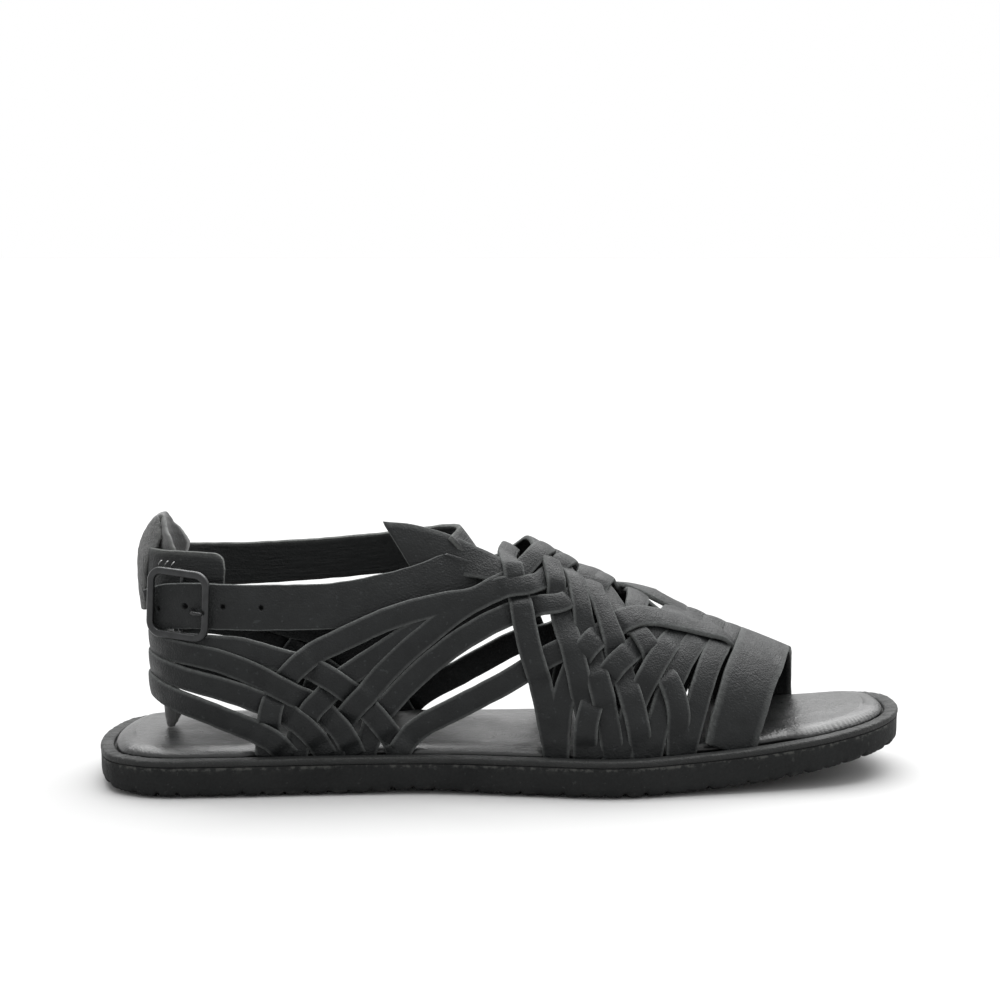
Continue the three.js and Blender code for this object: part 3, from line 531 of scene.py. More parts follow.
def make_suede():
    m, t, b = tree_of("tab_suede")
    tc = node(t, "ShaderNodeTexCoord")
    obj = tc.outputs["Object"]
    n1 = noise(t, obj, 260.0, 6.0, 0.7)
    n2 = noise(t, obj, 1300.0, 4.0, 0.7)
    tone = ramp(t, n1, [(0.3, (0.018, 0.0185, 0.0185)), (0.55, (0.045, 0.046, 0.045)), (0.8, (0.1, 0.102, 0.1))])
    tone = mix(t, maths(t, "MULTIPLY", n2, 0.5), tone, (0.085, 0.087, 0.085))
    flesh = attribute(t, "flesh")
    tone = mix(t, flesh, (0.0085, 0.0092, 0.0092), tone)
    tone = mix(t, maths(t, "MULTIPLY", attribute(t, "cut"), 0.8), tone, (0.075, 0.078, 0.075))
    link(t, tone, b.inputs["Base Color"])
    link(t, mix(t, flesh, grey(0.6), grey(0.95)), b.inputs["Roughness"])
    h = maths(t, "ADD", n1, maths(t, "MULTIPLY", n2, 0.6))
    h = maths(t, "MULTIPLY", h, maths(t, "ADD", maths(t, "MULTIPLY", flesh, 0.85), 0.15))
    link(t, bump(t, h, 1.0, 0.0016), b.inputs["Normal"])
    b.inputs["Specular IOR Level"].default_value = 0.25
    b.inputs["Sheen Weight"].default_value = 0.25
    b.inputs["Sheen Roughness"].default_value = 0.6
    MATERIALS["tab_suede"] = m


def make_rubber():
    m, t, b = tree_of("outsole_rubber")
    tc = node(t, "ShaderNodeTexCoord")
    obj = tc.outputs["Object"]
    slow = noise(t, obj, 45.0, 4.0, 0.6)
    fine = noise(t, obj, 1100.0, 4.0, 0.7)
    tone = ramp(t, slow, [(0.3, (0.0072, 0.0077, 0.0078)), (0.75, (0.0125, 0.0132, 0.0132))])
    speck = maths(t, "GREATER_THAN", noise(t, obj, 480.0, 2.0, 0.5), 0.7)
    tone = mix(t, maths(t, "MULTIPLY", speck, 0.4), tone, (0.035, 0.036, 0.035))
    seam = attribute(t, "seam")
    broken = ramp(t, noise(t, obj, 420.0, 3.0, 0.7), [(0.47, grey(0.0)), (0.6, grey(1.0))])
    tone = mix(t, maths(t, "MULTIPLY", seam, broken), tone, (0.05, 0.051, 0.048))
    worn = attribute(t, "worn")
    chips = ramp(t, noise(t, obj, 170.0, 4.0, 0.7), [(0.52, grey(0.0)), (0.66, grey(1.0))])
    tone = mix(t, maths(t, "MULTIPLY", worn, chips), tone, (0.03, 0.031, 0.029))
    link(t, tone, b.inputs["Base Color"])
    link(t, ramp(t, fine, [(0.3, grey(0.62)), (0.7, grey(0.85))]), b.inputs["Roughness"])
    nrm = bump(t, maths(t, "ADD", fine, maths(t, "MULTIPLY", noise(t, obj, 300.0, 4.0, 0.6), 1.2)), 0.5, 0.0003)
    link(t, nrm, b.inputs["Normal"])
    b.inputs["Specular IOR Level"].default_value = 0.18
    MATERIALS["outsole_rubber"] = m


def make_metal():
    m, t, b = tree_of("buckle_metal")
    tc = node(t, "ShaderNodeTexCoord")
    obj = tc.outputs["Object"]
    n1 = noise(t, obj, 320.0, 5.0, 0.6)
    tone = ramp(t, n1, [(0.3, (0.018, 0.0185, 0.019)), (0.75, (0.034, 0.035, 0.036))])
    link(t, tone, b.inputs["Base Color"])
    link(t, ramp(t, n1, [(0.3, grey(0.3)), (0.75, grey(0.44))]), b.inputs["Roughness"])
    b.inputs["Metallic"].default_value = 0.85
    b.inputs["Coat Weight"].default_value = 0.25
    b.inputs["Coat Roughness"].default_value = 0.3
    link(t, bump(t, noise(t, obj, 1500.0, 3.0, 0.5), 0.25, 0.00008), b.inputs["Normal"])
    MATERIALS["buckle_metal"] = m
    m2, t2, b2 = tree_of("wire_metal")
    tc2 = node(t2, "ShaderNodeTexCoord")
    tone2 = ramp(t2, noise(t2, tc2.outputs["Object"], 500.0, 3.0, 0.6), [(0.3, grey(0.12)), (0.7, grey(0.3))])
    link(t2, tone2, b2.inputs["Base Color"])
    b2.inputs["Metallic"].default_value = 1.0
    b2.inputs["Roughness"].default_value = 0.28
    MATERIALS["wire_metal"] = m2


make_suede()
make_rubber()
make_metal()

# ------------------------------------------------------------------ sole, board and insole
STATIONS = 460
XS = (LENGTH / 2) * (1 - np.cos(np.pi * np.arange(STATIONS + 1) / STATIONS))
TIP_Y = OUTER[-1][1]


def dense_ring():
    """Matching outline points: the outer side heel to toe, then the inner side back."""
    outer_y = np.interp(XS, OUTER[:, 0], OUTER[:, 1])
    inner_y = np.interp(XS, INNER[:, 0], INNER[:, 1])
    outer_y[0] = inner_y[0] = 0.0
    outer_y[-1] = inner_y[-1] = TIP_Y
    outer = np.stack([XS, outer_y], 1)
    inner = np.stack([XS, inner_y], 1)[1:-1][::-1]
    return np.vstack([outer, inner])


RING = dense_ring()
_d = np.roll(RING, -2, axis=0) - np.roll(RING, 2, axis=0)
_d /= np.linalg.norm(_d, axis=1, keepdims=True)
RING_IN = np.stack([-_d[:, 1], _d[:, 0]], 1)
RUN = np.concatenate([[0], np.cumsum(np.linalg.norm(np.diff(RING, axis=0), axis=1))])


HEEL_OUT = 1.3 * ease((14 - RING[:, 0]) / 12)


def ring_at(inset, z_of):
    inset = np.broadcast_to(np.asarray(inset, float), (len(RING),)) - HEEL_OUT
    p = RING + RING_IN * inset[:, None]
    return np.stack([p[:, 0], p[:, 1], z_of(np.clip(p[:, 0], 0, LENGTH))], 1)


def lofted(name, rings, slot, attrs_of, replaces, top_cols=26, bottom_cols=26, top_fn=None, bottom_fn=None, material=None):
    """Closed body from stacked rings with a gridded top and bottom."""
    n = len(RING)
    verts = [r for r in rings]
    faces = []
    for k in range(len(rings) - 1):
        a = k * n + np.arange(n)
        b = k * n + (np.arange(n) + 1) % n
        faces += list(zip(a, b, b + n, a + n))
    V = np.vstack(verts)

    def grid(start, cols, fn, flip):
        nonlocal V
        base = len(V)
        ring = V[start:start + n]
        outer = ring[:STATIONS + 1]
        inner = np.vstack([ring[:1], ring[STATIONS + 1:][::-1], ring[STATIONS:STATIONS + 1]])
        q = (np.arange(1, cols) / cols)[:, None, None]
        mid = outer[None] * (1 - q) + inner[None] * q  # cols-1, stations+1, 3
        mid = mid[:, 1:-1]
        flat = mid.reshape(-1, 3)
        if fn is not None:
            flat = fn(flat)
        V = np.vstack([V, flat])
        w = STATIONS - 1

        def idx(c, i):
            if i == 0:
                return start
            if i == STATIONS:
                return start + STATIONS
            if c == 0:
                return start + i
            if c == cols:
                return start + n - i
            return base + (c - 1) * w + (i - 1)
        for c in range(cols):
            for i in range(STATIONS):
                f = [idx(c, i), idx(c, i + 1), idx(c + 1, i + 1), idx(c + 1, i)]
                g = []
                for v in f:
                    if v not in g:
                        g.append(v)
                if len(g) > 2:
                    faces.append(tuple(reversed(g)) if flip else tuple(g))
    grid(0, bottom_cols, bottom_fn, True)
    grid((len(rings) - 1) * n, top_cols, top_fn, False)
    faces_np = fix_outward(V[:, :], faces[:2000]) if False else faces
    # the outer side runs first, so the walls face out when the ring is counter-clockwise seen from above
    return piece(name, V, faces_np, slot, uv=V[:, :2] / 1000.0, attrs=attrs_of(V), replaces=replaces, material=material)


def groove(x, y):
    """Shallow wavy tread channels across the sole, 0 to 1."""
    phase = (x + 2.2 * np.sin(y / 5.2) + 0.9 * np.sin(x / 23.0)) / 7.4
    f = np.abs(phase - np.round(phase)) * 7.4
    return ease((1.15 - f) / 0.6)


def strength(x, y):
    return 0.45 + 0.55 * (0.5 + 0.5 * np.sin(x * 0.31 + 2.0 * np.sin(x * 0.083) + np.sign(y) * 1.3))


G = groove(RING[:, 0], RING[:, 1]) * strength(RING[:, 0], RING[:, 1])
ragged = 0.5 + 0.5 * np.sin(RUN * 1.9 + 3 * np.sin(RUN * 0.37))
ragged2 = np.sin(RUN * 0.77 + 2 * np.sin(RUN * 0.21))


def sole_level(inset, add, keep):
    def z(x):
        return underside(x) + add
    r = ring_at(inset + 0.5 * G * keep + 0.12 * ragged2 * keep, z)
    r[:, 2] += keep * (0.95 * G + 0.16 * ragged * ragged)
    return r


def sole_top(inset, drop):
    return ring_at(inset, lambda x: footbed(x) - BOARD - drop)


lift_heel = 2.2 * np.clip(1 - RING[:, 0] / 30, 0, 1)
rings = [sole_level(3.4, 0.0, 1.0), sole_level(2.2, 0.03, 1.0), sole_level(1.2, 0.3, 1.0), sole_level(0.55, 0.8, 0.9), sole_level(0.2, 1.5, 0.6),
         sole_level(0.02, 2.6, 0.12)]
for fq in (0.0, 0.33, 0.66, 0.9):
    lo = ring_at(0.0 + 0.04 * ragged2, lambda x: underside(x) + 3.6)
    hi = sole_top(0.05 * ragged2 * 0.5, 0.9)
    r = lo * (1 - fq) + hi * fq
    rings.append(r)
rings += [sole_top(-0.06, 0.75), sole_top(-0.08, 0.35), sole_top(0.1, 0.08), sole_top(0.8, 0.0)]
N_RING = len(RING)


def tread(flat):
    out = flat.copy()
    x, y = flat[:, 0], flat[:, 1]
    rim = np.minimum.reduce([np.abs(y - np.interp(x, OUTER[:, 0], OUTER[:, 1])), np.abs(np.interp(x, INNER[:, 0], INNER[:, 1]) - y)])
    out[:, 2] = underside(np.clip(x, 0, LENGTH)) + 0.95 * groove(x, y)
    return out


def sole_attrs(V):
    seam = np.zeros(len(V))
    worn = np.zeros(len(V))
    for k in range(len(rings)):
        seam[k * N_RING:(k + 1) * N_RING] = {10: 1.0, 11: 0.8, 9: 0.15}.get(k, 0.0)
        worn[k * N_RING:(k + 1) * N_RING] = {0: 0.4, 1: 0.7, 2: 1.0, 3: 1.0, 4: 0.35}.get(k, 0.0)
    return {"seam": seam, "worn": worn}


# the sole keeps its resting faces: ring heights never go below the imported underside
lofted("outsole_tread", rings, "outsole_rubber", sole_attrs, ["outsole"], top_cols=4, bottom_cols=26, bottom_fn=tread)

# wrapped board: rounded rim, radial wrinkles at heel and toe, a slot inside the rim
ENDS = np.clip(ease((34 - RING[:, 0]) / 22) + ease((RING[:, 0] - 252) / 22), 0, 1)
wr = ENDS * (np.sin(RUN * 1.15 + 1.4 * np.sin(RUN * 0.23)) * 0.6 + np.sin(RUN * 2.3 + 2 * np.sin(RUN * 0.11)) * 0.4)


def board_level(inset, dz, wrinkle=0.0):
    r = ring_at(inset, lambda x: footbed(x) + dz)
    r[:, 2] += wrinkle * wr
    return r


slow_edge = 0.05 * np.sin(RUN * 0.11) + 0.04 * np.sin(RUN * 0.39 + 1)
board_rings = [board_level(0.9, -BOARD), board_level(0.25, -BOARD + 0.05), board_level(-0.1, -BOARD + 0.35), board_level(-0.24 + slow_edge, -1.5),
               board_level(-0.24 + slow_edge, -0.95, 0.03), board_level(-0.12 + slow_edge, -0.42, 0.06), board_level(0.18 + slow_edge, -0.1, 0.1),
               board_level(0.7, 0.04, 0.14), board_level(1.7, 0.1, 0.2), board_level(3.0, 0.08, 0.2), board_level(4.1, -0.02, 0.12),
               board_level(4.5, -0.2, 0.06), board_level(4.72, -0.6), board_level(4.8, -1.45)]


def board_attrs(V):
    cut = np.zeros(len(V))
    for k, v in {1: 0.5, 2: 0.35}.items():
        cut[k * N_RING:(k + 1) * N_RING] = v
    return {"cut": cut, "inside": np.zeros(len(V))}


lofted("board_wrap", board_rings, "board_leather", board_attrs, ["footbed_board"], top_cols=6, bottom_cols=4)

# padded insole: close to the rim where no strap stands, drawn in where the straps' feet go down
strap_zone = np.clip(ease((RING[:, 0] - 50) / 10) * ease((114 - RING[:, 0]) / 9) + ease((RING[:, 0] - 154) / 8) * ease((254 - RING[:, 0]) / 8), 0, 1)
pad_inset = 5.5 + 2.5 * strap_zone
pleat = ease((RING[:, 0] - 236) / 26) * (0.5 + 0.5 * np.sin(RUN * 3.1 + 1.6 * np.sin(RUN * 0.31))) + \
    0.3 * ease((30 - RING[:, 0]) / 20) * (0.5 + 0.5 * np.sin(RUN * 2.6 + 1.5 * np.sin(RUN * 0.27)))


def pad_level(extra, height, pl=0.0):
    r = ring_at(pad_inset + extra + 0.25 * pleat * pl, lambda x: footbed(x))
    r[:, 2] += height - 0.22 * pleat * pl
    return r


pad_rings = [pad_level(0.6, -1.15), pad_level(0.1, -0.9), pad_level(-0.05, -0.2), pad_level(0.15, 0.45, 0.8), pad_level(0.75, 1.15, 1.0), pad_level(1.8, 1.85, 0.5),
             pad_level(3.2, 2.42, 0.15), pad_level(4.9, 2.78), pad_level(6.8, 3.0)]


def soft_top(flat):
    out = flat.copy()
    x = np.clip(flat[:, 0], 0.0, LENGTH)
    wide = np.minimum(np.abs(flat[:, 1] - np.interp(x, OUTER[:, 0], OUTER[:, 1])), np.abs(np.interp(x, INNER[:, 0], INNER[:, 1]) - flat[:, 1]))
    out[:, 2] += (PAD_CROWN - 3.0) * ease((wide - 14.0) / 12.0)
    out[:, 2] += ease((wide - 14.0) / 8.0) * 0.12 * np.sin(flat[:, 0] / 17.0) * np.sin(flat[:, 1] / 11.0) + 0.08 * np.sin(flat[:, 0] / 7.0 + flat[:, 1] / 9.0)
    return out


pad = lofted("insole_pad", pad_rings, "insole_leather", lambda V: {"cut": np.zeros(len(V)), "inside": np.zeros(len(V))}, ["insole"], top_cols=22, bottom_cols=3, top_fn=soft_top)

# ------------------------------------------------------------------ the woven straps
V1 = [(162.7, -3), (160.8, 6), (157.3, 19.4), (152.7, 32.7), (149.1, 48.3)]
V2 = [(176.4, -3), (172.4, 16), (168.5, 33), (163.5, 51.6), (161.5, 64.5)]
V3 = [(182.7, -3), (179.1, 17.5), (174.5, 36), (170.4, 58.7), (167.9, 74.6)]
V4 = [(193.1, -3), (188.7, 17.7), (184, 36.4), (178.6, 57.7), (175.2, 71)]
V5 = [(204.8, -3), (203.9, 21.4), (197, 40.4), (187.9, 58.4), (183.4, 69)]
N1 = [(60.5, -3), (62, 4.2), (68.5, 9), (93.4, 18.8), (121.7, 33.4), (136.4, 42.1), (151, 63.5)]
S1 = [(82, -3), (88.1, 4.3), (97.4, 9.8), (117.9, 25), (142, 46.9), (155.7, 58.3)]
S2 = [(93, -3), (99, 4.5), (107.7, 10.5), (128.7, 25.8), (153.2, 45.5), (166.3, 56.5)]
N2 = [(70, -3), (72.7, 2.6), (85, 8.9), (101, 16.4), (118.2, 26.6)]
S4 = [(103, -3), (110.8, 2.6), (129.2, 10), (147.8, 20.1), (166, 35.4)]
D0 = [(172.1, -3), (173.8, 13.7), (180.4, 29.4), (191.5, 47.1), (197.7, 60), (203, 76)]
HH = [(183.9, -3), (187.8, 13.2), (193, 28.9), (200.5, 48.8), (205.8, 62.5), (210, 77)]
JJ = [(194.5, -3), (197.9, 13.6), (202.3, 29.5), (208.6, 50.2), (213.3, 64.7), (217, 78)]
KK = [(206.7, -3), (210, 13.6), (213.1, 29.2), (217.2, 48.9), (220.3, 62.1), (223.5, 77)]
LL = [(162.8, -3), (164.5, 15), (170.8, 33.4), (184.2, 54.4), (192.3, 63), (206.2, 69.5), (219.8, 74), (234, 77.5)]
TT = [(223, -3), (225.5, 12), (228.5, 27), (231, 42), (234, 57), (238.5, 86), (242.5, 110), (244.5, 135), (245.5, 160), (246, 183)]
HS = {"HS1": [(0, 50.5), (27, 50), (45, 47), (67, 36.5), (79, 29.5), (87, 21.5), (92, 12)],
      "HS2": [(0, 42.5), (20, 42.5), (41, 38.5), (60, 31.5), (70, 26.5), (77, 20), (82, 12)],
      "HS3": [(0, 34.3), (18, 34.8), (36, 30.6), (52, 24.0), (62, 19.2), (69, 12)]}
HS0 = [(24, 52), (38, 52), (51, 51), (65, 47), (79, 42.5), (90, 35), (101, 24), (108, 12)]


def mirrored(rows):
    return [(s + 0.3 * max(s - 150, 0) * float(ease((100 - phi) / 60)), 180 - phi) for s, phi in rows]


def rev(rows):
    return list(reversed(rows))


def path_last(rows, step=1.25):
    c = catmull([(s, p * 0.6) for s, p in rows], 40)
    q = on_last(c[:, 0], c[:, 1] / 0.6)
    run = np.concatenate([[0], np.cumsum(np.linalg.norm(np.diff(q, axis=0), axis=1))])
    k = max(int(run[-1] / step), 8)
    t = np.linspace(0, run[-1], k + 1)
    return np.interp(t, run, c[:, 0]), np.interp(t, run, c[:, 1]) / 0.6


def path_heel(rows, step=1.25):
    c = catmull(rows, 40)
    s = np.abs(c[:, 0])
    low = FOOTBED_Z - c[:, 1]
    up = np.where(low > 0, -low / 0.4, phi_at(s, c[:, 1]))
    phi = np.where(c[:, 0] < 0, up, 180 - up)
    q = on_last(s, phi)
    run = np.concatenate([[0], np.cumsum(np.linalg.norm(np.diff(q, axis=0), axis=1))])
    k = max(int(run[-1] / step), 8)
    t = np.linspace(0, run[-1], k + 1)
    u = np.interp(t, run, c[:, 0])
    z = np.interp(t, run, c[:, 1])
    s = np.abs(u)
    low = FOOTBED_Z - z
    up = np.where(low > 0, -low / 0.4, phi_at(s, z))
    return s, np.where(u < 0, up, 180 - up)


def label(outer, inner):
    return lambda s, phi: outer if phi <= 90 else inner


STRAPS = []


def add(name, sphi, labels, width=WOVEN_WIDTH, thick=STRAP, **kw):
    s, phi = sphi
    q = on_last(s, phi)
    run = np.concatenate([[0], np.cumsum(np.linalg.norm(np.diff(q, axis=0), axis=1))])
    STRAPS.append(dict(name=name, s=s, phi=phi, at=q, run=run, labels=labels, width=width, thick=thick, marks=[], **kw))


for nm, front, rear, lf, lr, ix in (("two", V2, N1, "V2", "N1", 2), ("three", V3, S1, "V3", "S1", 3), ("four", V4, S2, "V4", "S2", 4)):
    add("strap_front_%s_outer" % nm, path_last(front + rev(mirrored(rear))), label(lf, lr), family=("down", ix),
        extra=(lambda s, phi: 3.4 * np.exp(-((phi - 112) / 15.0) ** 2)) if ix == 2 else None)
    add("strap_rear_%s_outer" % nm, path_last(rear + rev(mirrored(front))), label(lr, lf), family=("up", ix))
add("strap_front_five_outer", path_last(V5 + [(180, 84), (174, 112)] + rev(mirrored(S4))), label("V5", "S4"), family=("down", 5))
add("strap_front_five_inner", path_last([(176, 66), (179, 84), (184, 104)] + rev(mirrored(V5))), label("X5", "V5"), family=("up", 5))
add("strap_tucked_high_outer", path_last(N2), label("N2", "N2"))
add("strap_tucked_low_outer", path_last(S4), label("S4", "S4"))
add("strap_tucked_high_inner", path_last(mirrored(N2)), label("N2", "N2"))
add("strap_front_one", path_last(V1 + [(146.3, 62), (147.5, 78), (149, 97), (148, 118)] + rev(mirrored(V1))), label("V1", "V1"),
    extra=lambda s, phi: -5.2 * ease((phi - 58) / 18) * ease((134 - phi) / 18))
RAISE = {"first": 1.3, "second": 0.9, "third": 0.7, "fourth": 0.5}
for nm, rows, lb in (("first", D0, "D0"), ("second", HH, "H"), ("third", JJ, "J"), ("fourth", KK, "K")):
    add("strap_arch_%s" % nm, path_last(rows + rev(mirrored(rows))), label(lb, lb),
        extra=lambda s, phi, up=RAISE[nm]: up * np.exp(-((phi - 90) / 11.0) ** 2))
add("strap_lengthwise_outer", path_last(LL), lambda s, phi: "B0" if s < 189 else "L", extra=lambda s, phi: -3.0 * ease((s - 221) / 8))
add("strap_lengthwise_inner", path_last(mirrored(LL[:3]) + [(184.8, 119), (190.8, 102), (196.5, 92.5), (203.5, 92.5), (212.5, 97.5), (222, 101), (234, 103)]), lambda s, phi: "B0" if s < 189 else "M",
    extra=lambda s, phi: 0.9 * np.exp(-((s - 197) / 7.0) ** 2) - 2.3 * ease((s - 223) / 8), tilt=1.0)
# short arch that fills the middle of the instep, beneath the lengthwise straps
add("strap_arch_short", path_last([(189.5, 58), (191, 72), (192.5, 90), (191.5, 108), (189.5, 122)]), label("C", "C"), extra=lambda s, phi: 0.6 + 0 * s)
add("strap_arch_lower", path_last([(203, 66), (206.5, 78), (209.5, 91), (212.3, 104), (213, 116)]), label("C2", "C2"), extra=lambda s, phi: 0.5 + 0 * s)
for nm, rows in HS.items():
    both = [(-s, z) for s, z in rev(rows)] + [(s, z) for s, z in rows if s > 0]
    add("strap_heel_%s" % nm[-1], path_heel(both), label(nm, nm), tilt=-0.45, bow=-0.15)
add("strap_heel_tucked_outer", path_heel([(-s, z) for s, z in HS0]), label("HS0", "HS0"))
add("strap_heel_tucked_inner", path_heel(HS0), label("HS0", "HS0"))

# which strap lies over which where two cross: "upper>lower"
OVER = set("""HS3>N1 N1>HS2 HS1>N1 N1>HS0 HS2>N2 N2>HS1 HS0>N2 S1>N2 HS1>S1 S1>HS0 S1>HS2 S2>HS1 HS0>S2 HS2>S2 S4>HS0 HS1>S4 HS2>HS3
S1>V1 V2>S1 S1>V3 V4>S1 V1>S2 S2>V2 V3>S2 S2>V4 V5>S2 V1>S4 V2>S4 S4>V3 B0>V1 V2>B0 B0>V3 V4>B0 B0>V5 D0>V2 V3>D0 D0>V4 V5>D0 L>D0
V4>H H>V5 V3>H L>H V5>J L>J V5>K L>K L>V5 L>V4 L>V3 V1>N1 N1>V2 V3>N1 N1>V4 N2>V1 V4>X5 X5>V5 L>X5 X5>V3 D0>X5
L>C2 M>C2 V5>C2 V4>C2 D0>C2 H>C2 J>C2 X5>C2 V3>C2
L>C M>C V5>C D0>C V4>C B0>C X5>C H>M J>M K>M M>D0 M>V5 M>V4 M>V3 M>X5 D0>B0 D0>H H>J J>K N1>N2 S1>S2 S2>S4""".split())


def crossings():
    for a in range(len(STRAPS)):
        A = STRAPS[a]
        for b in range(a + 1, len(STRAPS)):
            B = STRAPS[b]
            pa = np.stack([A["s"], A["phi"] * 0.6], 1)
            pb = np.stack([B["s"], B["phi"] * 0.6], 1)
            if pa[:, 0].min() > pb[:, 0].max() or pb[:, 0].min() > pa[:, 0].max():
                continue
            da, db = pa[1:] - pa[:-1], pb[1:] - pb[:-1]
            r = pb[None, :-1] - pa[:-1, None]
            den = da[:, None, 0] * db[None, :, 1] - da[:, None, 1] * db[None, :, 0]
            den = np.where(np.abs(den) < 1e-9, 1e-9, den)
            t = (r[..., 0] * db[None, :, 1] - r[..., 1] * db[None, :, 0]) / den
            u = (r[..., 0] * da[:, None, 1] - r[..., 1] * da[:, None, 0]) / den
            long_a = np.abs(da[:, None, 1]) + 0 * t > 20
            long_b = np.abs(db[None, :, 1]) + 0 * t > 20
            hit = np.argwhere((t >= 0) & (t < 1) & (u >= 0) & (u < 1) & ~long_a & ~long_b)
            for i, j in hit:
                la = A["labels"](A["s"][i], A["phi"][i])
                lb = B["labels"](B["s"][j], B["phi"][j])
                fa, fb2 = A.get("family"), B.get("family")
                if fa and fb2 and fa[0] != fb2[0]:
                    # plain weave where the two diagonal families meet
                    down, upw = (fa, fb2) if fa[0] == "down" else (fb2, fa)
                    over_up = (down[1] + upw[1]) % 2 == 0
                    up = over_up == (fa[0] == "up")
                elif "%s>%s" % (la, lb) in OVER:
                    up = True
                elif "%s>%s" % (lb, la) in OVER:
                    up = False
                else:
                    up = True
                    print("no order for", la, lb, "at", round(float(A["s"][i]), 1), round(float(A["phi"][i]), 1))
                A["marks"].append((float(A["run"][i]), up, la, lb))
                B["marks"].append((float(B["run"][j]), not up, lb, la))


crossings()


def heights(S):
    """Height of the strap's inner face along its run, from its crossings."""
    run = S["run"]
    marks = sorted(S["marks"])
    pts = []
    foot_low = S["phi"][0] < 0 or S["phi"][0] > 180
    foot_end = S["phi"][-1] < 0 or S["phi"][-1] > 180
    level = lambda up, la, lb: (HIGH if up else LOW) + (0.3 if up and la == "L" else 0.0)
    mid = 0.75
    if foot_low:
        pts.append((0.0, S.get("foot", 0.45)))
    for k, (a, up, la, lb) in enumerate(marks):
        if pts and a - pts[-1][0] < 2.0:
            # two crossings almost at one place: the higher one wins
            pts[-1] = (pts[-1][0], max(pts[-1][1], level(up, la, lb)))
            continue
        if pts and a - pts[-1][0] > 24:
            h0 = pts[-1][1]
            pts.append((pts[-1][0] + 10, mid))
            pts.append((a - 10, mid))
        pts.append((a, level(up, la, lb)))
    if foot_end:
        if pts and run[-1] - pts[-1][0] > 24:
            pts.append((pts[-1][0] + 10, mid))
        pts.append((run[-1], S.get("foot", 0.45)))
    if not pts:
        return np.full(len(run), mid)
    pts = sorted(pts)
    x = np.array([p[0] for p in pts])
    y = np.array([p[1] for p in pts])
    i = np.clip(np.searchsorted(x, run, side="right") - 1, 0, len(x) - 2) if len(x) > 1 else np.zeros(len(run), int)
    if len(x) == 1:
        return np.full(len(run), y[0])
    t = (run - x[i]) / np.maximum(x[i + 1] - x[i], 1e-6)
    gapw = np.maximum(x[i + 1] - x[i], 1e-6)
    squeeze = np.where(gapw < 17, 0.34, 0.5)
    t = np.clip((t - 0.5) / squeeze + 0.5, 0, 1)
    return y[i] + (y[i + 1] - y[i]) * ease(t)


first = True
for k, S in enumerate(STRAPS):
    h = heights(S)
    if S.get("extra") is not None:
        h = h + S["extra"](S["s"], S["phi"])
    n = outward(S["s"], S["phi"])
    # smooth the normals along the strap
    for _ in range(3):
        m = n.copy()
        m[1:-1] = n[:-2] + 2 * n[1:-1] + n[2:]
        n = m / np.linalg.norm(m, axis=1, keepdims=True)
    w = S["width"]
    if S["name"].startswith("strap_lengthwise"):
        w = WOVEN_WIDTH + (9.0 - WOVEN_WIDTH) * ease((S["run"] - 30) / 30)
    if S.get("family") or S["name"] == "strap_front_one":
        w = w - 1.25 * ease((S["phi"] - 40) / 14) * ease((140 - S["phi"]) / 14) * ease((S["s"] - 138) / 12)
    if not S["name"].startswith("strap_heel"):
        w = w + (2.4 if S["name"].startswith("strap_arch") else 1.3) * ease((S["phi"] - 128) / 14)
    ribbon(S["name"], S["at"], n, w, h, thick=S["thick"], seed=11 + k, replaces=["upper"] if first else None, bow=S.get("bow", -0.32),
           tilt=S.get("tilt", 0.0))
    first = False


def on_surface(name, rows, width, height, **kw):
    s, phi = path_last(rows, kw.pop("step", 1.0))
    n = outward(s, phi)
    for _ in range(3):
        m = n.copy()
        m[1:-1] = n[:-2] + 2 * n[1:-1] + n[2:]
        n = m / np.linalg.norm(m, axis=1, keepdims=True)
    t = np.linspace(0, 1, len(s))
    w = width(t) if callable(width) else width
    h = height(t, s, phi) if callable(height) else height
    return ribbon(name, on_last(s, phi), n, w, h, **kw)


# strap that turns back along the collar and widens to a slanted cut end
on_surface("strap_collar_end", [(148, 50), (145.5, 54), (138, 55.5), (128, 53.5), (118, 48.5), (107.5, 42.5)], lambda t: 8.5 + 8.0 * ease(t * 1.1),
           lambda t, s, phi: 0.4 - 7.6 * ease((t - 0.08) / 0.5), slant=(0, -5.5), seed=71, bow=-0.3)
# toe band
on_surface("toe_band", TT, 19.0, lambda t, s, phi: 0.35 + 1.9 * np.exp(-((phi - 88) / 26.0) ** 2), thick=2.4, seed=73, material="toe_band_leather", step=1.0)

# ------------------------------------------------------------------ ankle strap
ANKLE_FRONT = [(19.5, -19.9, 62.5, .05), (25, -22.4, 64.6, .05), (31, -25.5, 65.5, .06), (42, -29.4, 66.0, .1), (55, -28.6, 65.4, .14),
               (69, -26.2, 65.0, .16), (85, -23.4, 65.2, .2), (100, -20.8, 67.4, .26), (116, -17.6, 71.2, .34), (130, -13.8, 76.4, .42), (134, -12.2, 78.4, .45)]
ANKLE_BACK = [(46.5, -23.8, 75.5, .06), (38, -22.4, 76, .05), (29, -18.9, 76, .05), (22.5, -15.5, 76, .05), (18.2, -8.5, 75.6, .05),
              (16.9, 0, 75, .05), (18.2, 8.5, 74.4, .05), (23, 17, 73.6, .05), (34, 24.5, 72.8, .1), (53, 28, 72.6, .14), (80, 28.2, 74.4, .2),
              (102, 25.8, 76.8, .28), (117, 22, 79.4, .4), (126, 15.5, 81.6, .55), (131.3, 7, 83, .65), (132.6, -2.5, 83, .7), (130, -11, 81, .75)]


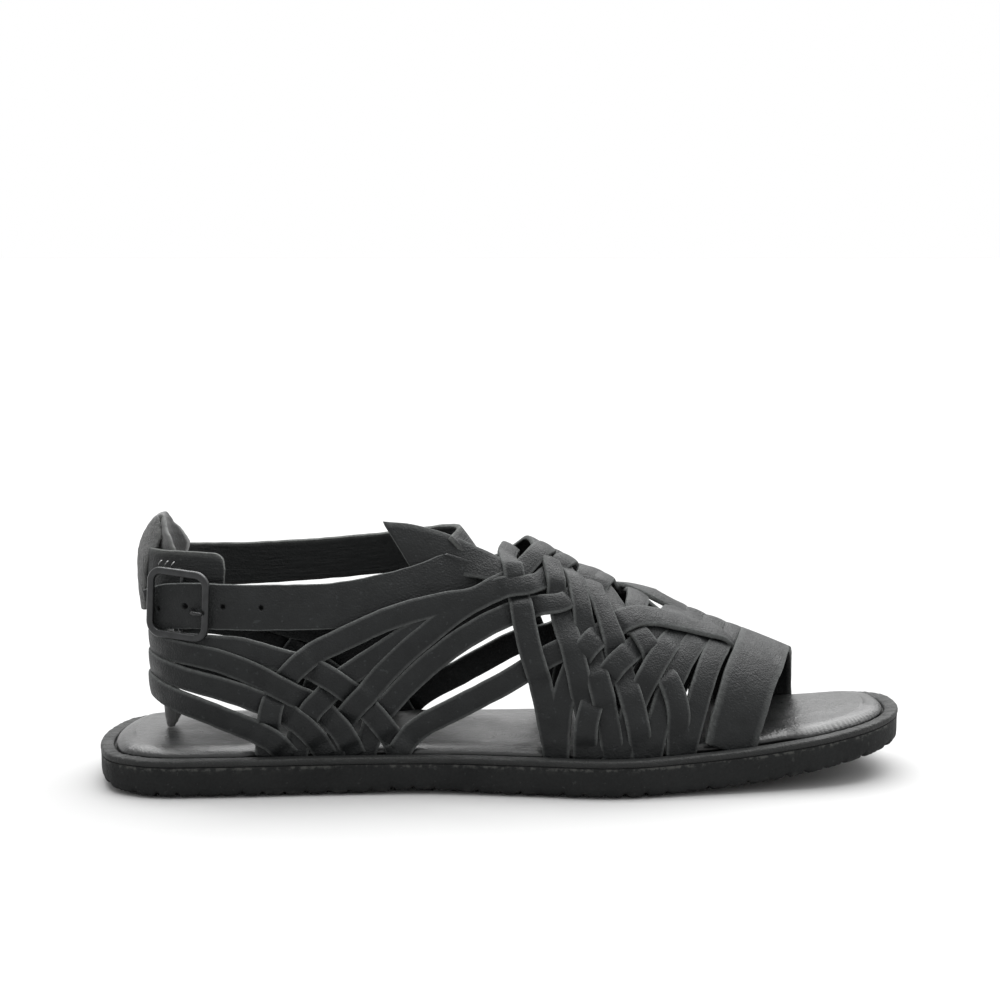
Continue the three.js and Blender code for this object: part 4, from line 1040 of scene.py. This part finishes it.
def band(name, rows, side, width=16.0, thick=2.0, step=0.8, holes=(), **kw):
    c = catmull(rows, 16)
    run = np.concatenate([[0], np.cumsum(np.linalg.norm(np.diff(c[:, :3], axis=0), axis=1))])
    t = np.linspace(0, run[-1], int(run[-1] / step))
    c = np.stack([np.interp(t, run, c[:, k]) for k in range(4)], 1)
    p = c[:, :3]
    along = np.gradient(p, axis=0)
    along /= np.linalg.norm(along, axis=1, keepdims=True)
    n = np.stack([along[:, 1] * side, -along[:, 0] * side, np.zeros(len(p))], 1)
    n /= np.linalg.norm(n, axis=1, keepdims=True)
    n[:, 2] = c[:, 3]
    n /= np.linalg.norm(n, axis=1, keepdims=True)
    run = np.concatenate([[0], np.cumsum(np.linalg.norm(np.diff(p, axis=0), axis=1))])
    pits = [(float(run[int(np.argmin(np.abs(p[:, 0] - x)))]), 0.0, r) for x, r in holes]
    return ribbon(name, p, n, width, -thick / 2, thick=thick, replaces=kw.pop("replaces"), pits=pits, **kw)


band("ankle_strap_buckled", ANKLE_FRONT, 1, replaces=["ankle_strap_front"], slant=(0, -7.0), seed=91, material="ankle_leather", bow=-0.25, step=0.45, top=36,
     holes=((23.2, 0.75), (33.4, 0.95), (46.6, 0.75), (59.6, 0.75)))
band("ankle_strap_round", ANKLE_BACK, -1, replaces=["ankle_strap_back"], seed=93, ends=(4.5, 0), material="ankle_inner_leather", bow=-0.2)

# ------------------------------------------------------------------ heel tab
# x, z, half width, and the radius of its bend round the heel
TAB = [(22.8, 17.2, 3.4, 7), (22.2, 20.5, 6.0, 9), (21.4, 30, 7.4, 15), (20.9, 44, 8.4, 34), (21.1, 58, 10.0, 42), (21.2, 68, 12.6, 42),
       (21.3, 76, 15.6, 40), (21.4, 82, 16.4, 38), (21.7, 87, 13.2, 36), (21.9, 91, 8.4, 34), (21.6, 94.0, 5.0, 26), (20.2, 93.6, 4.8, 18),
       (17.8, 91.2, 6.4, 10), (15.6, 87.7, 8.2, 10), (14.2, 84.2, 9.2, 13), (13.4, 80, 9.5, 20), (13.3, 74, 9.4, 26), (13.6, 67.5, 8.8, 28),
       (14.4, 61, 7.4, 30)]
c = catmull(TAB, 9)
tv, tf, tcut, tflesh, tuv = [], [], [], [], []
cols = np.linspace(-1, 1, 17)
prof = []
for q in cols:
    prof.append((q, -0.9))
for q in cols[::-1]:
    prof.append((q, 0.9))
nrm2 = []
for i in range(len(c)):
    a, b2 = c[max(i - 1, 0)], c[min(i + 1, len(c) - 1)]
    d = np.array([b2[0] - a[0], b2[1] - a[1]])
    d /= np.linalg.norm(d)
    nrm2.append((-d[1], d[0]))
for i in range(len(c)):
    x, z, half, bend = c[i]
    half = half + 0.07 * math.sin(i * 1.7) + 0.12 * math.sin(i * 0.6 + 1)
    for j, (q, h) in enumerate(prof):
        y = q * half
        edge = abs(q) > 0.999
        hh = h * (0.55 if edge else 1.0) + 0.05 * math.sin(i * 0.9 + q * 5)
        tv.append((x + y * y / bend + nrm2[i][0] * hh, y, z + nrm2[i][1] * hh))
        tcut.append(0.85 if abs(q) > 0.93 else 0.0)
        # the flap that folds over the band shows its rough side
        tflesh.append(float(ease((i / len(c) - 0.6) / 0.03)))
        tuv.append((i * 0.001, y / 1000))
m = len(prof)
tf = tube_faces(len(c), m)
for e in (0, len(c) - 1):
    loop = [e * m + j for j in range(m)]
    for j in range(len(cols) - 1):
        f = (loop[j], loop[j + 1], loop[m - 2 - j], loop[m - 1 - j])
        tf.append(tuple(reversed(f)) if e == 0 else f)
tf = fix_outward(tv, tf)
piece("heel_tab_folded", tv, tf, "tab_suede", uv=tuv, attrs={"cut": tcut, "flesh": tflesh}, replaces=["heel_tab"])

# ------------------------------------------------------------------ buckle
B = dict(x=30.7, y=-28.6, z=66.6, length=25.4, height=25, bar=2.7, thick=2.2, corner=5.5, turn=26, tip=3)
DROP = 5.3
PLACE = (Matrix.Translation((B["x"], B["y"], B["z"])) @ Matrix.Rotation(math.radians(-B["turn"]), 4, "Z") @ Matrix.Rotation(math.pi / 2, 4, "X")
         @ Matrix.Rotation(math.radians(-B["tip"]), 4, "Z"))


def placed(points):
    return np.array([list(PLACE @ Vector(p)) for p in points])


def rounded_path(w, h, r, per=9, straight=10):
    pts = []
    for cx, cy, a0, sx, sy in ((w / 2 - r, -h / 2 + r, -90, 0, 1), (w / 2 - r, h / 2 - r, 0, -1, 0), (-w / 2 + r, h / 2 - r, 90, 0, -1),
                               (-w / 2 + r, -h / 2 + r, 180, 1, 0)):
        for k in range(per + 1):
            a = math.radians(a0 + 90 * k / per)
            pts.append((cx + r * math.cos(a), cy + r * math.sin(a)))
        gap = (h - 2 * r) if sy else (w - 2 * r)
        for k in range(1, straight):
            last = (cx + r * math.cos(math.radians(a0 + 90)), cy + r * math.sin(math.radians(a0 + 90)))
            pts.append((last[0] + sx * gap * k / straight, last[1] + sy * gap * k / straight))
    return np.array(pts)


mid_path = rounded_path(B["length"] - B["bar"], B["height"] - B["bar"], B["corner"] - B["bar"] / 2)
bv = []
M = 14
for i in range(len(mid_path)):
    a, b2 = mid_path[i - 1], mid_path[(i + 1) % len(mid_path)]
    d = (b2 - a) / np.linalg.norm(b2 - a)
    nn = np.array([d[1], -d[0]])
    for j in range(M):
        w = 2 * math.pi * j / M
        # flattened round bar
        e = 2.6
        cx = math.copysign(abs(math.cos(w)) ** (2 / e), math.cos(w)) * B["bar"] / 2
        cz = math.copysign(abs(math.sin(w)) ** (2 / e), math.sin(w)) * B["thick"] / 2
        bv.append((mid_path[i][0] + nn[0] * cx, mid_path[i][1] + nn[1] * cx, cz))
bf = tube_faces(len(mid_path), M, closed_path=True)
bf = fix_outward(placed(bv), bf)
piece("buckle_ring", placed(bv), bf, "buckle_metal", replaces=["buckle_frame"])


def rod(rows, radius, name, slot, per=10, sides=12, replaces=None, material=None, flat=1.0):
    c = catmull(rows, per)
    verts = []
    prev = None
    for i in range(len(c)):
        d = c[min(i + 1, len(c) - 1)] - c[max(i - 1, 0)]
        d /= np.linalg.norm(d)
        if prev is None:
            a = np.cross(d, [0, 1, 0]) if abs(d[1]) < 0.9 else np.cross(d, [1, 0, 0])
        else:
            a = prev - d * np.dot(prev, d)
        a /= np.linalg.norm(a)
        prev = a
        b2 = np.cross(d, a)
        end = min(i, len(c) - 1 - i)
        rr = radius * (0.55 if end == 0 else 0.85 if end == 1 else 1.0)
        for j in range(sides):
            w = 2 * math.pi * j / sides
            verts.append(c[i] + a * rr * math.cos(w) + b2 * rr * flat * math.sin(w))
    faces = tube_faces(len(c), sides)
    faces.append(tuple(reversed(range(sides))))
    faces.append(tuple(range((len(c) - 1) * sides, len(c) * sides)))
    v = placed(verts)
    return piece(name, v, fix_outward(v, faces), slot, replaces=replaces, material=material)


leg = B["height"] / 2 - B["bar"] / 2
rod([(-2, -leg, 0.0), (-2, -leg, -DROP + 1.0), (-2, -leg + 1, -DROP), (-2, 0, -DROP), (-2, leg - 1, -DROP), (-2, leg, -DROP + 1.0), (-2, leg, 0.0)], 0.85, "buckle_middle_bar", "buckle_metal")
rod([(0.1, -1.8, -5.1), (1.7, -1.8, -4.8), (3.6, -1.8, -3.2), (5.3, -1.8, -0.7), (6.8, -1.8, 1.5), (8.6, -1.8, 2.3), (11.4, -1.8, 2.25)], 0.85, "buckle_tongue", "buckle_metal",
    replaces=["buckle_prong"], flat=0.85)

# even row of small stitches beside the buckle
for k in range(3):
    cx = -9.0 + 2.6 * k
    lean = 0.6
    rows = [(cx, 12.3, -1.6), (cx + 0.3 * lean, 12.8, -0.9), (cx + 0.8 * lean, 13.5, -0.6), (cx + 1.3 * lean, 14.1, -0.9), (cx + 1.5 * lean, 14.5, -1.7)]
    rod(rows, 0.2, "stitch_%d" % (k + 1), "buckle_metal", per=5, sides=8, material="wire_metal")

# ------------------------------------------------------------------ floor, light and camera
floor_me = bpy.data.meshes.new("floor")
floor_me.from_pydata([(-40, -40, -0.0004), (40, -40, -0.0004), (40, 40, -0.0004), (-40, 40, -0.0004)], [], [(0, 1, 2, 3)])
floor = bpy.data.objects.new("floor", floor_me)
bpy.context.scene.collection.objects.link(floor)
fm, ft, fb = tree_of("floor_pale")
fb.inputs["Base Color"].default_value = (0.4, 0.4, 0.4, 1)
fb.inputs["Roughness"].default_value = 0.9
fb.inputs["Specular IOR Level"].default_value = 0.1
floor_me.materials.append(fm)
floor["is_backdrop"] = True

world = bpy.data.worlds.new("studio")
bpy.context.scene.world = world
world.use_nodes = True
bg = world.node_tree.nodes.get("Background") or world.node_tree.nodes.new("ShaderNodeBackground")
bg.inputs["Color"].default_value = (1, 1, 1, 1)
bg.inputs["Strength"].default_value = 1.0
bpy.context.scene.view_settings.view_transform = "Standard"
bpy.context.scene.view_settings.look = "None"


def overhead(name, direction, strength, angle):
    """Very wide, soft light from far off: a sheet of white cloth under the ceiling."""
    l = bpy.data.lights.new(name, "SUN")
    l.energy = strength
    l.angle = math.radians(angle)
    o = bpy.data.objects.new(name, l)
    bpy.context.scene.collection.objects.link(o)
    o.location = Vector(direction) * 2.0
    o.rotation_euler = (-Vector(direction)).to_track_quat("-Z", "Y").to_euler()
    return o


overhead("top_soft", (0.08, 0.38, 0.92), 6.0, 75.0)
overhead("toe_soft", (0.75, 0.15, 0.65), 0.8, 60.0)

ELEV, YAW, DIST, SCALE = math.radians(13.665), math.radians(0.776), 750.0, 2.731
AIM = np.array([143.053, -3.512, 13.0])
AIM_PX = (500.0, 737.0)
back = np.array([-math.sin(YAW) * math.cos(ELEV), -math.cos(YAW) * math.cos(ELEV), math.sin(ELEV)])
right = np.array([math.cos(YAW), -math.sin(YAW), 0.0])
fwd = -back
upv = np.cross(right, fwd)
focal = SCALE * DIST
dx, dy = (AIM_PX[0] - 500) / focal, -(AIM_PX[1] - 500) / focal
axis = fwd - dy * upv - dx * right
axis /= np.linalg.norm(axis)
r_ = np.cross(axis, [0, 0, 1.0])
r_ /= np.linalg.norm(r_)
u_ = np.cross(r_, axis)
pos = (AIM + back * DIST + SHIFT) / 1000.0
cam = bpy.data.cameras.new("camera")
cam.sensor_fit = "HORIZONTAL"
cam.sensor_width = 36.0
cam.lens = focal * 36.0 / 1000.0
cam.clip_start = 0.02
cam.clip_end = 30
co = bpy.data.objects.new("camera", cam)
bpy.context.scene.collection.objects.link(co)
rot = Matrix(((r_[0], u_[0], -axis[0]), (r_[1], u_[1], -axis[1]), (r_[2], u_[2], -axis[2])))
co.matrix_world = Matrix.Translation(Vector(pos)) @ rot.to_4x4()
bpy.context.scene.camera = co

SIZE_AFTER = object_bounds()


def plain(v):
    return [[float(c) for c in p] for p in v] if hasattr(v[0], "__len__") else [float(c) for c in v]


{"cad": plain(SIZE_BEFORE), "visual": plain(SIZE_AFTER)}
